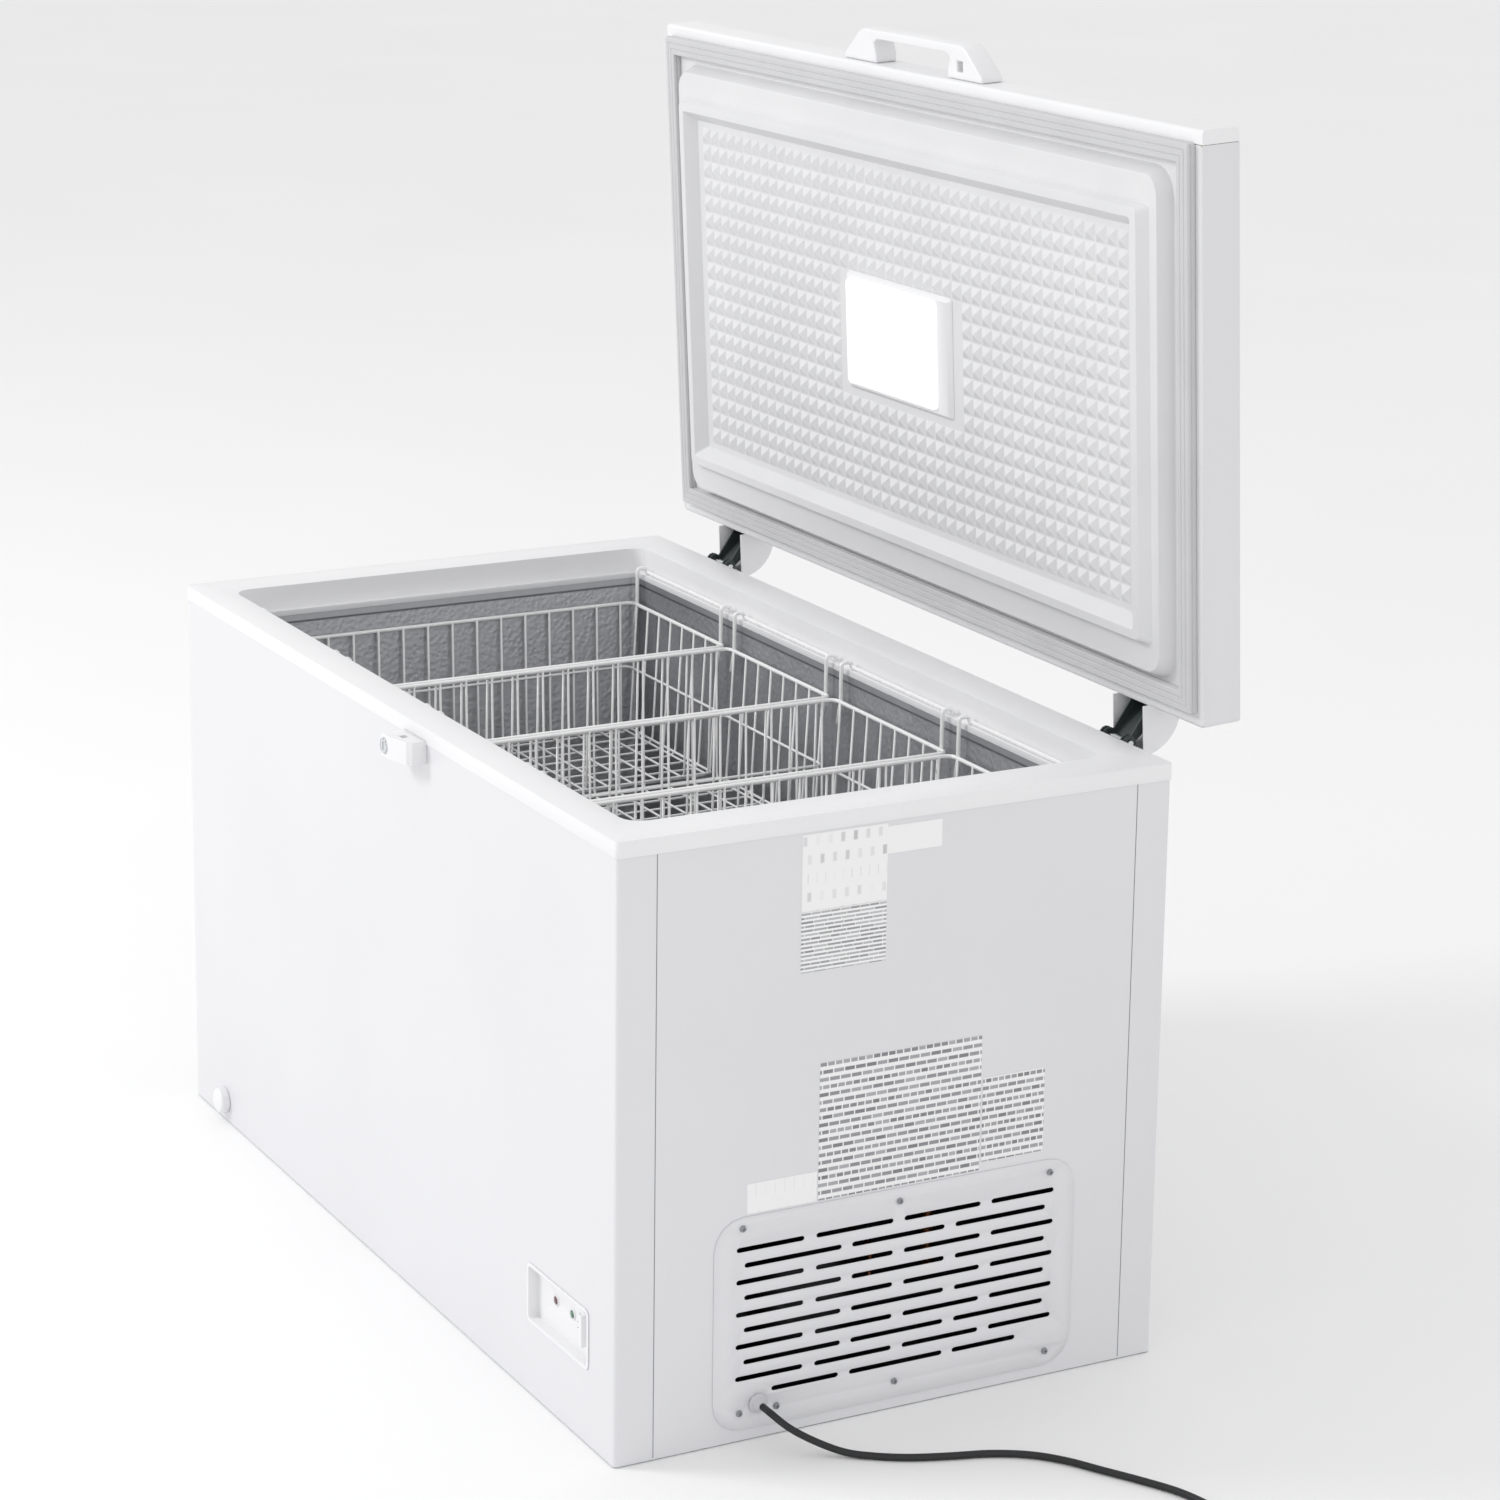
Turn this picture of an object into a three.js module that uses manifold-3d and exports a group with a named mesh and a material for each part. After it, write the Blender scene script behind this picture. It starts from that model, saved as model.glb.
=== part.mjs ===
// Chest freezer with one lid, four hanging baskets and a compressor bay at its right end.
// Units are millimetres. The origin is the centre of the base on the floor, +Z is up, the front faces -Y.
import * as THREE from "three";
import { mergeVertices } from "three/addons/utils/BufferGeometryUtils.js";
import Module from "manifold-3d";

const wasm = await Module();
wasm.setup();

// ---- overall
const LENGTH = 1400;
const DEPTH = 765;
const RIM_HEIGHT = 780;
const GAP = 0.3;
const SHEET = 1;
const OVERHANG = 1.5;
const SKIRT_HEIGHT = 20.5;
const BODY_CORNER_RADIUS = 5;
const FRONT_RETURN = 53.7;
const REAR_RETURN = 51;
const HALF_LENGTH = LENGTH / 2;
const FRONT = -DEPTH / 2;
const REAR = DEPTH / 2;
const BODY_X = HALF_LENGTH - OVERHANG;
const BODY_FRONT = FRONT + OVERHANG;
const BODY_REAR = REAR - OVERHANG;

// ---- collar
const COLLAR_THICKNESS = 2.5;
const SKIRT_THICKNESS = 1.2;
const OPENING_MARGIN_END = 64;
const OPENING_MARGIN_FRONT = 48;
const OPENING_MARGIN_REAR = 60;
const OPENING_RADIUS = 26;
const LEDGE_DROP = 33;
const LEDGE_Z = RIM_HEIGHT - LEDGE_DROP;
const LIP_HEIGHT = 8;
const LIP_THICKNESS = 1.2;
const COLLAR_DRAFT = 2;

// ---- tub
const WALL_END = 79;
const WALL_SIDE = 74.5;
const TUB_FLOOR = 78;
const TUB_X = HALF_LENGTH - WALL_END;
const TUB_Y = DEPTH / 2 - WALL_SIDE;
const TUB_RADIUS = 10;
const LINER_THICKNESS = 1;
const COIL_SPACE = 7;

// ---- compressor bay and the step above it
const BAY_LENGTH = 262;
const BAY_HEIGHT = 298;
const BAY_SIDE_WALL = 82.5;
const BAY_HALF_DEPTH = DEPTH / 2 - BAY_SIDE_WALL;
const BAY_WALL = 46;
const STEP_X = BODY_X - BAY_LENGTH - BAY_WALL;
const STEP_Z = BAY_HEIGHT + BAY_WALL;
const BAY_X = BODY_X - BAY_LENGTH;
const BASE_THICKNESS = 1.5;
const BASE_LIP = 16;

// ---- vent grille on the right end
const GRILLE_WIDTH = 507;
const GRILLE_HEIGHT = 275;
const GRILLE_BOTTOM = 15;
const GRILLE_RADIUS = 40;
const GRILLE_THICKNESS = 1.2;
const GRILLE_CENTRE_Y = 4;
const VENT_MARGIN = 12;
const SLOT_HEIGHT = 6.4;
const SLOT_PITCH = 20.8;
const SLOT_TOP = 233.9;
const SLOT_LEFT = 30;
const SLOT_WIDE_ROW = [[0, 93], [109, 217], [232, 341], [356, 447]];
const SLOT_NARROW_ROW = [[11, 145], [159, 290], [305, 435]];
const SLOT_LAST_ROW = [[50, 143], [158, 290], [304, 396]];
const SLOT_ROWS = 9;
const SLOT_END_STEPS = 3;
const SCREW_HEAD_RADIUS = 4.5;
const SCREW_HEAD_HEIGHT = 2.6;
const SCREW_SHANK_RADIUS = 1.9;
const SCREW_SHANK_LENGTH = 6;
const SCREW_HOLE_RADIUS = 2.4;
const SCREW_HOLE_SIDES = 6;
const SCREW_CROSS_HALF = 2.4;
const SCREW_CROSS_WIDTH = 1.2;
const SCREW_TAB_HALF = 12;
const SCREWS = [[38, 261], [255, 258], [470, 258], [36, 23], [87, 23], [252, 22], [470, 19]];

// ---- cord outlet in the grille
const OUTLET_ACROSS = 61.6;
const OUTLET_UP = 31.9;
const OUTLET_RADIUS = 10.4;
const RELIEF_RADIUS = 10;
const RELIEF_FLANGE_RADIUS = 12.5;
const RELIEF_TIP_RADIUS = 6;
const RELIEF_INSIDE = 16;
const RELIEF_OUTSIDE = 12;

// ---- front fittings
const PANEL_FROM_RIGHT = 70;
const PANEL_WIDTH = 172;
const PANEL_HEIGHT = 78;
const PANEL_BOTTOM = 97;
const PANEL_RADIUS = 9;
const PANEL_RIM = 3;
const PANEL_RECESS = 12;
const PANEL_PROUD = 1.6;
const PANEL_WALL = 1.5;
const PANEL_BACK = 42;
const LAMP_RADIUS = 5;
const LAMP_UP = 45;
const RED_LAMP_ACROSS = 57;
const GREEN_LAMP_ACROSS = 103;
const LAMP_LENGTH = 14;
const LAMP_PROUD = 2;
const LAMP_BEVEL = 1.7;
const KNOB_RADIUS = 21;
const KNOB_UP = 41;
const KNOB_ACROSS = 145;
const KNOB_SHAFT_RADIUS = 3;
const KNOB_SHAFT_LENGTH = 9;
const KNOB_SIDES = 28;
const KNOB_DISK = 3;
const KNOB_BAR_HALF = 4;
const DRAIN_FROM_LEFT = 120;
const DRAIN_HEIGHT = 32;
const DRAIN_TUBE_RADIUS = 11;
const DRAIN_BORE_RADIUS = 9;
const DRAIN_CAP_RADIUS = 19;
const DRAIN_CAP_DEPTH = 14;
const DRAIN_CAP_BEVEL = 3;
const DRAIN_CAP_SOCKET = 5;
const DRAIN_TUBE_PROUD = 4;
const TUB_PLUG_RADIUS = 18;
const TUB_PLUG_STEM = 14;
const DRAIN_INSET = 60;
const LOCK_X = 125;
const LOCK_WIDTH = 67;
const LOCK_HEIGHT = 30;
const LOCK_DEPTH = 35;
const LOCK_TOP_GAP = 17;
const KEY_RADIUS = 10;
const KEY_OFFSET = -21;

// ---- lid, described closed
const GASKET_SPACE = 12;
const LID_THICKNESS = 53.3;
const LID_END_INSET = 2.5;
const LID_REAR_INSET = 23.3;
const LID_Z = RIM_HEIGHT + GASKET_SPACE;
const LID_TOP = LID_Z + LID_THICKNESS;
const LID_X = HALF_LENGTH - LID_END_INSET;
const LID_REAR = REAR - LID_REAR_INSET;
const LID_RADIUS = 6;
const LID_LINER_THICKNESS = 2;
const TRIM_DEPTH = 18;
const TRIM_WALL = 2.5;
const PIVOT_BEHIND = 24.4;
const PIVOT_BELOW_RIM = 11.3;
const PIVOT_Y = REAR + PIVOT_BEHIND;
const PIVOT_Z = RIM_HEIGHT - PIVOT_BELOW_RIM;
const LID_OPEN = THREE.MathUtils.degToRad(87.1);
const GASKET_WIDTH = 26;
const GASKET_END_MARGIN = 15;
const GASKET_SIDE_MARGIN = 16;
const PLUG_CLEARANCE = 8;
const PLUG_CLEARANCE_REAR = 13;
const PLUG_CLEARANCE_END = 3.5;
const PLUG_DRAFT = 5;
const PLUG_DEPTH = 20;
const STEP_STRIP_END = 14;
const STEP_STRIP_SIDE = 36;
const STEP_RADIUS = 8;
const RIDGE_DEPTH = 34;
const RIDGE_SLOPE = 11;
const RIDGE_WIDTH = 12;
const RECESS_DEPTH = 16;
const RECESS_DRAFT = 14;

// ---- lid handle
const HANDLE_HALF_WIDTH = 180;
const HANDLE_TOP_HALF_WIDTH = 132;
const HANDLE_GRIP_HALF_WIDTH = 94;
const HANDLE_REACH = 45;
const HANDLE_BAR = 12;
const HANDLE_HEIGHT = 33;
const HANDLE_RISE = 10;
const LOCK_HOLE = 14;

// ---- lid lamp
const LAMP_BASE_WIDTH = 278;
const LAMP_BASE_DEPTH = 166;
const LAMP_BASE_HEIGHT = 6;
const LAMP_BASE_FROM_REAR = 290;
const LENS_FROM_LEFT = 9;
const LENS_WIDTH = 238;
const LENS_MARGIN = 9;
const LENS_HEIGHT = 12;

// ---- hinges
const HINGE_FROM_END = 162;
const HINGE_X = HALF_LENGTH - HINGE_FROM_END;
const HINGE_PIN_RADIUS = 4;
const HINGE_HOLE_RADIUS = 4.6;
const HINGE_EYE_RADIUS = 9.5;
const ARM_HALF_WIDTH = 21;
const ARM_SHEET = 2.5;
const ARM_BELOW_LID_TOP = 10.3;
const EAR_INNER = 25;
const EAR_SHEET = 3;
const PIN_HALF_LENGTH = 31;
const BRACKET_BELOW_RIM = 132;
const BRACKET_BOTTOM = RIM_HEIGHT - BRACKET_BELOW_RIM;
const SHROUD_HALF_WIDTH = 35;
const SHROUD_WALL = 1.8;
const SHROUD_BELOW_LID_TOP = 8.3;
const SHROUD_RADIUS = GASKET_SPACE + LID_THICKNESS - SHROUD_BELOW_LID_TOP;
const HOUSING_WALL = 2;
const HOUSING_DEPTH = 45;
const SHROUD_BEHIND_LID = 9;
const HOUSING_CLEAR_OF_SHROUD = 2.7;
const HOUSING_TOP_BELOW_PIVOT = LID_REAR + SHROUD_BEHIND_LID + SHROUD_RADIUS - PIVOT_Y + HOUSING_CLEAR_OF_SHROUD;
const HOUSING_BELOW_RIM = 118;
const HOUSING_BOTTOM = RIM_HEIGHT - HOUSING_BELOW_RIM;

// ---- baskets
const BASKET_COUNT = 4;
const BASKET_GAP = 6;
const BASKET_WALL = 3.5;
const BASKET_RAIL_BELOW_LEDGE = 42;
const BASKET_HEIGHT = 200;
const BASKET_TAPER_X = 6;
const BASKET_TAPER_Y = 12;
const BASKET_RADIUS = 14;
const BASKET_SIDE_GAP = 8;
const HOOK_RADIUS = 3;
const HOOK_CROWN = 11;

// ---- cooling circuit
const COIL_TUBE_RADIUS = 2.2;
const EVAPORATOR_BELOW_LEDGE = 47;
const EVAPORATOR_ABOVE_STEP = 56;
const EVAPORATOR_BELOW_STEP = 44;
const EVAPORATOR_ABOVE_FLOOR = 22;
const EVAPORATOR_HIGH_LOOPS = 4;
const EVAPORATOR_LOW_LOOPS = 2;
const CONDENSER_BOTTOM = 130;
const CONDENSER_BELOW_RIM = 210;
const CONDENSER_RUNS = 5;
const CONDENSER_BEFORE_BAY = 56.5;
const CONDENSER_SLOT_IN_BAY = 63.5;
const CONDENSER_SLOT_HALF = 15;
const CONDENSER_SLOT_HEIGHT = 108;
const COMPRESSOR_OFF_MIDDLE = -7.5;
const COMPRESSOR_X = BAY_X + BAY_LENGTH / 2 + COMPRESSOR_OFF_MIDDLE;
const COMPRESSOR_Y = -70;
const COMPRESSOR_RADIUS = 82;
const COMPRESSOR_HEIGHT = 178;
const MOUNT_HEIGHT = 22;
const TUBE_JOINT = 12;
const SUCTION_Y = 60;
const SUCTION_RADIUS = 3.5;
const THROUGH_Z = 150;
const THROUGH_RADIUS = 12;
const PORT_Z = 90;
const PORT_OFFSET = 24;
const DRIER_IN_BAY = 40;
const DRIER_FROM_REAR = 120;
const DRIER_BOTTOM = 70;
const DRIER_RADIUS = 9;
const DRIER_LENGTH = 100;

// ---- cord
const CORD_RADIUS = 4.5;
const CORD_STEPS = 32;
const COIL_CENTRE = [1250, 257.5];
const COIL_MID_RADIUS = 52;
const COIL_TURN_SPACING = 9;
const COIL_MEETS_CORD = 32.5;
const PLUG_START = 38;
const PLUG_BOOT = 14;
const PLUG_BODY = [24, 34, 27];
const BLADE_LENGTH = 16;

const WHITE = { color: 0xf1f1f3, roughness: 0.35, metalness: 0 };
const PLASTIC = { color: 0xf4f4f6, roughness: 0.5, metalness: 0 };
const GREY_PLASTIC = { color: 0xd3d3d6, roughness: 0.5, metalness: 0 };
const RUBBER = { color: 0xb4b4b6, roughness: 0.8, metalness: 0 };
const BLACK = { color: 0x1b1c1e, roughness: 0.6, metalness: 0 };
const DARK_STEEL = { color: 0x323a3a, roughness: 0.45, metalness: 0.6 };
const CHROME = { color: 0xd0d3d6, roughness: 0.2, metalness: 1 };
const ALUMINIUM = { color: 0xa8a8aa, roughness: 0.4, metalness: 0.9 };
const COPPER = { color: 0xb87333, roughness: 0.35, metalness: 0.9 };
const FOAM = { color: 0xd9c79a, roughness: 0.95, metalness: 0 };

const AXIS_X = new THREE.Vector3(1, 0, 0);
const AXIS_Y = new THREE.Vector3(0, 1, 0);
const AXIS_Z = new THREE.Vector3(0, 0, 1);
const TO_X = new THREE.Matrix4().makeBasis(AXIS_Y, AXIS_Z, AXIS_X);
const TO_Y = new THREE.Matrix4().makeBasis(AXIS_X, AXIS_Z, AXIS_Y.clone().negate());
const CORNER_STEPS = 4;
const ROUND_STEPS = 16;
const STRAIGHT_HALF_ANGLE = 1.55;
const EYE_STEPS = 12;
const POT_SIDES = 20;
const RING_SIDES = 24;

// ---- shape helpers

function v3(x, y, z) {
  return new THREE.Vector3(x, y, z);
}

// A solid that can be cut and joined, from a closed geometry.
function solid(geometry) {
  const bare = geometry.index ? geometry.toNonIndexed() : geometry.clone();
  bare.deleteAttribute("normal");
  bare.deleteAttribute("uv");
  const merged = mergeVertices(bare, 1e-4);
  const vertProperties = new Float32Array(merged.attributes.position.array);
  const triVerts = new Uint32Array(merged.index.array);
  return new wasm.Manifold(new wasm.Mesh({ numProp: 3, vertProperties, triVerts }));
}

function geometryOf(body) {
  const made = body.getMesh();
  const geometry = new THREE.BufferGeometry();
  geometry.setAttribute("position", new THREE.BufferAttribute(made.vertProperties, 3));
  geometry.setIndex(new THREE.BufferAttribute(made.triVerts, 1));
  geometry.computeVertexNormals();
  return geometry;
}

function joined(bodies) {
  return bodies.reduce((whole, body) => whole.add(body));
}

function cut(body, cutters) {
  return cutters.reduce((whole, cutter) => whole.subtract(cutter), body);
}

function mesh(name, body, look) {
  const geometry = body.isBufferGeometry ? body : geometryOf(body);
  const made = new THREE.Mesh(geometry, new THREE.MeshStandardMaterial(look));
  made.name = name;
  return made;
}

function rect(x0, x1, y0, y1, radius = 0) {
  return { x0, x1, y0, y1, radius };
}

// The same rectangle moved outwards on every side, or inwards when the amount is negative.
function grown(r, by, radius = Math.max(r.radius + by, 0)) {
  return rect(r.x0 - by, r.x1 + by, r.y0 - by, r.y1 + by, radius);
}

function outline(r, Kind = THREE.Shape) {
  const shape = new Kind();
  const { x0, x1, y0, y1, radius } = r;
  if (radius <= 0) {
    shape.moveTo(x0, y0);
    shape.lineTo(x1, y0);
    shape.lineTo(x1, y1);
    shape.lineTo(x0, y1);
    shape.closePath();
    return shape;
  }
  shape.moveTo(x0 + radius, y0);
  shape.lineTo(x1 - radius, y0);
  shape.absarc(x1 - radius, y0 + radius, radius, -Math.PI / 2, 0);
  shape.lineTo(x1, y1 - radius);
  shape.absarc(x1 - radius, y1 - radius, radius, 0, Math.PI / 2);
  shape.lineTo(x0 + radius, y1);
  shape.absarc(x0 + radius, y1 - radius, radius, Math.PI / 2, Math.PI);
  shape.lineTo(x0, y0 + radius);
  shape.absarc(x0 + radius, y0 + radius, radius, Math.PI, Math.PI * 1.5);
  return shape;
}

function polygon(points) {
  return new THREE.Shape(points.map(([x, y]) => new THREE.Vector2(x, y)));
}

function disc(x, y, radius, sides = ROUND_STEPS) {
  const points = [];
  for (let i = 0; i < sides; i++) {
    const angle = (i / sides) * Math.PI * 2;
    points.push([x + radius * Math.cos(angle), y + radius * Math.sin(angle)]);
  }
  return polygon(points);
}

function extruded(shape, depth) {
  return new THREE.ExtrudeGeometry(shape, { depth, bevelEnabled: false, curveSegments: CORNER_STEPS / 2 });
}

// Extrusions of a drawn outline: prismZ reads (x, y), prismX reads (y, z) and prismY reads (x, z).
function prismZ(shape, z0, z1) {
  return solid(extruded(shape, z1 - z0).translate(0, 0, z0));
}

function prismX(shape, x0, x1) {
  return solid(extruded(shape, x1 - x0).applyMatrix4(TO_X).translate(x0, 0, 0));
}

function prismY(shape, y0, y1) {
  return solid(extruded(shape, y1 - y0).applyMatrix4(TO_Y).translate(0, y1, 0));
}

function block(x0, x1, y0, y1, z0, z1) {
  return prismZ(outline(rect(x0, x1, y0, y1)), z0, z1);
}

// A flat ring between two rectangles.
function frameZ(outer, inner, z0, z1) {
  const shape = outline(outer);
  shape.holes.push(outline(inner, THREE.Path));
  return prismZ(shape, z0, z1);
}

// A body of revolution: the profile is a list of [radius, along] from the axis back to the axis.
function turned(profile, axis, at, sides = ROUND_STEPS) {
  const geometry = new THREE.LatheGeometry(profile.map(([r, a]) => new THREE.Vector2(r, a)), sides);
  if (axis === "x") geometry.rotateZ(-Math.PI / 2);
  if (axis === "-y") geometry.rotateZ(Math.PI);
  if (axis === "z") geometry.rotateX(Math.PI / 2);
  return solid(geometry.translate(at[0], at[1], at[2]));
}

// The points of a rounded rectangle, counter-clockwise seen from above, the same number for every size.
function ringPoints(r, z) {
  const radius = Math.max(r.radius, 0.01);
  const corners = [
    [r.x1 - radius, r.y0 + radius, -0.5],
    [r.x1 - radius, r.y1 - radius, 0],
    [r.x0 + radius, r.y1 - radius, 0.5],
    [r.x0 + radius, r.y0 + radius, 1],
  ];
  const points = [];
  for (const [cx, cy, from] of corners) {
    for (let i = 0; i <= CORNER_STEPS; i++) {
      const angle = Math.PI * (from + (0.5 * i) / CORNER_STEPS);
      points.push([cx + radius * Math.cos(angle), cy + radius * Math.sin(angle), z]);
    }
  }
  return points;
}

// A closed body between a lower and an upper surface, each a list of [rect, z] from its edge to its middle.
function layered(lower, upper) {
  const rings = [...lower].reverse().concat(upper).map(([r, z]) => ringPoints(r, z));
  const count = rings[0].length;
  const triangles = [];
  for (let k = 0; k + 1 < rings.length; k++) {
    for (let i = 0; i < count; i++) {
      const j = (i + 1) % count;
      triangles.push(rings[k][i], rings[k][j], rings[k + 1][j]);
      triangles.push(rings[k][i], rings[k + 1][j], rings[k + 1][i]);
    }
  }
  const first = rings[0];
  const last = rings[rings.length - 1];
  for (let i = 1; i + 1 < count; i++) {
    triangles.push(first[0], first[i + 1], first[i]);
    triangles.push(last[0], last[i], last[i + 1]);
  }
  const geometry = new THREE.BufferGeometry();
  geometry.setAttribute("position", new THREE.Float32BufferAttribute(triangles.flat(), 3));
  return solid(geometry);
}

// A path that runs straight from point to point, for bent wires and tubes.
class Route extends THREE.Curve {
  constructor(points) {
    super();
    this.points = points;
  }

  getPoint(t, target = new THREE.Vector3()) {
    const at = t * (this.points.length - 1);
    const i = Math.min(Math.floor(at), this.points.length - 2);
    return target.lerpVectors(this.points[i], this.points[i + 1], at - i);
  }

  getPointAt(u, target) {
    return this.getPoint(u, target);
  }

  getSpacedPoints(divisions) {
    return this.getPoints(divisions);
  }

  getTangentAt(u, target = new THREE.Vector3()) {
    const last = this.points.length - 1;
    const i = Math.round(u * last);
    target.set(0, 0, 0);
    if (i > 0) target.add(this.points[i].clone().sub(this.points[i - 1]).normalize());
    if (i < last) target.add(this.points[i + 1].clone().sub(this.points[i]).normalize());
    return target.normalize();
  }
}

// The corners of a bent wire, each one replaced by an arc of the given radius.
function filleted(corners, radius, steps) {
  const route = [corners[0]];
  for (let i = 1; i + 1 < corners.length; i++) {
    const back = corners[i - 1].clone().sub(corners[i]);
    const ahead = corners[i + 1].clone().sub(corners[i]);
    const half = back.angleTo(ahead) / 2;
    if (half > STRAIGHT_HALF_ANGLE) continue;
    const reach = Math.min(radius / Math.tan(half), back.length() * 0.45, ahead.length() * 0.45);
    const towards = back.normalize().clone().add(ahead.normalize());
    const centre = corners[i].clone().add(towards.setLength(reach / Math.cos(half)));
    const spoke = corners[i].clone().addScaledVector(back, reach).sub(centre);
    const axis = ahead.clone().cross(back).normalize();
    for (let k = 0; k <= steps; k++) {
      const turn = (k / steps) * (Math.PI - 2 * half);
      route.push(spoke.clone().applyAxisAngle(axis, turn).add(centre));
    }
  }
  route.push(corners[corners.length - 1]);
  return route;
}

function pipe(points, radius, sides) {
  const options = { steps: points.length - 1, bevelEnabled: false, extrudePath: new Route(points) };
  return solid(new THREE.ExtrudeGeometry(disc(0, 0, radius, sides), options));
}

// ---- cabinet

const BODY = rect(-BODY_X, BODY_X, BODY_FRONT, BODY_REAR, BODY_CORNER_RADIUS);
const PANEL_TOP = RIM_HEIGHT - COLLAR_THICKNESS - GAP;
const SEAM_FRONT = FRONT + FRONT_RETURN;
const SEAM_REAR = REAR - REAR_RETURN;
const PANEL_RIGHT = HALF_LENGTH - PANEL_FROM_RIGHT;
const PANEL_LEFT = PANEL_RIGHT - PANEL_WIDTH;
const PANEL_AREA = rect(PANEL_LEFT, PANEL_RIGHT, PANEL_BOTTOM, PANEL_BOTTOM + PANEL_HEIGHT, PANEL_RADIUS);
const DRAIN_X = -HALF_LENGTH + DRAIN_FROM_LEFT;
const KNOB_X = PANEL_LEFT + KNOB_ACROSS;
const KNOB_Z = PANEL_BOTTOM + KNOB_UP;
const PANEL_FACE_Y = BODY_FRONT + PANEL_RECESS;
const GRILLE_FRONT = GRILLE_CENTRE_Y - GRILLE_WIDTH / 2;
const GRILLE = rect(
  GRILLE_FRONT, GRILLE_FRONT + GRILLE_WIDTH, GRILLE_BOTTOM, GRILLE_BOTTOM + GRILLE_HEIGHT, GRILLE_RADIUS,
);
const OUTLET_Y = GRILLE_FRONT + OUTLET_ACROSS;
const OUTLET_Z = GRILLE_BOTTOM + OUTLET_UP;
const GRILLE_X = BODY_X + GAP;
const GRILLE_FACE = GRILLE_X + GRILLE_THICKNESS;
const INSIDE = grown(BODY, -SHEET - GAP);
const FOAM_CORNER_RADIUS = 18;
const FOAM_OUTER = grown(BODY, -SHEET - COIL_SPACE, FOAM_CORNER_RADIUS);

// The cabinet's sheet-metal skin as one hoop, before it is parted at the seams.
function skinHoop() {
  return frameZ(BODY, grown(BODY, -SHEET), BASE_THICKNESS, PANEL_TOP);
}

function frontPanel() {
  const part = block(-LENGTH, LENGTH, FRONT - DEPTH, SEAM_FRONT - GAP, 0, RIM_HEIGHT);
  return cut(skinHoop().intersect(part), [
    prismY(outline(grown(PANEL_AREA, -PANEL_RIM + GAP)), FRONT - SHEET, FRONT + FRONT_RETURN / 2),
    prismY(disc(DRAIN_X, DRAIN_HEIGHT, DRAIN_TUBE_RADIUS + GAP), FRONT - SHEET, FRONT + FRONT_RETURN / 2),
  ]);
}

function rearPanel() {
  return skinHoop().intersect(block(-LENGTH, LENGTH, SEAM_REAR + GAP, REAR + DEPTH, 0, RIM_HEIGHT));
}

function endBand(side) {
  const from = side > 0 ? 0 : -LENGTH;
  return block(from, from + LENGTH, SEAM_FRONT, SEAM_REAR, 0, RIM_HEIGHT);
}

function screwPlaces() {
  return SCREWS.map(([across, up]) => [GRILLE_FRONT + across, GRILLE_BOTTOM + up]);
}

function screwHoles(x0, x1) {
  return screwPlaces().map(([y, z]) => prismX(disc(y, z, SCREW_HOLE_RADIUS, SCREW_HOLE_SIDES), x0, x1));
}

function rightEndPanel() {
  const ventHole = outline(grown(GRILLE, -VENT_MARGIN, GRILLE_RADIUS - VENT_MARGIN));
  const inside = BODY_X - 2 * SHEET;
  const holes = screwHoles(inside, HALF_LENGTH);
  const tabs = screwPlaces().map(([y, z]) => {
    return prismX(outline(grown(rect(y, y, z, z), SCREW_TAB_HALF, 0)), BODY_X - SHEET, BODY_X);
  });
  const panel = skinHoop().intersect(endBand(1)).subtract(prismX(ventHole, inside, HALF_LENGTH));
  return cut(joined([panel, ...tabs]), holes);
}

function leftEndPanel() {
  return skinHoop().intersect(endBand(-1));
}

function basePan() {
  const lip = frameZ(INSIDE, grown(INSIDE, -SHEET), BASE_THICKNESS / 2, BASE_LIP);
  return prismZ(outline(INSIDE), 0, BASE_THICKNESS).add(lip);
}

// The tub's volume, moved outwards by an amount, up to a height.
function tubVolume(by, top) {
  const radius = TUB_RADIUS + by;
  const low = rect(-TUB_X - by, STEP_X + by, -TUB_Y - by, TUB_Y + by, radius);
  const high = rect(-TUB_X - by, TUB_X + by, -TUB_Y - by, TUB_Y + by, radius);
  return prismZ(outline(low), TUB_FLOOR - by, STEP_Z - by + 1).add(prismZ(outline(high), STEP_Z - by, top));
}

const DRAIN_HOLE_Y = -TUB_Y + DRAIN_INSET;
const LINER_TOP = LEDGE_Z - COLLAR_THICKNESS - GAP;

function innerLiner() {
  const drainHole = prismZ(disc(DRAIN_X, DRAIN_HOLE_Y, DRAIN_TUBE_RADIUS + GAP), 0, TUB_FLOOR + 1);
  return cut(tubVolume(LINER_THICKNESS, LINER_TOP), [tubVolume(0, RIM_HEIGHT), drainHole]);
}

const OPENING = rect(
  -HALF_LENGTH + OPENING_MARGIN_END,
  HALF_LENGTH - OPENING_MARGIN_END,
  FRONT + OPENING_MARGIN_FRONT,
  REAR - OPENING_MARGIN_REAR,
  OPENING_RADIUS,
);

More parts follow.
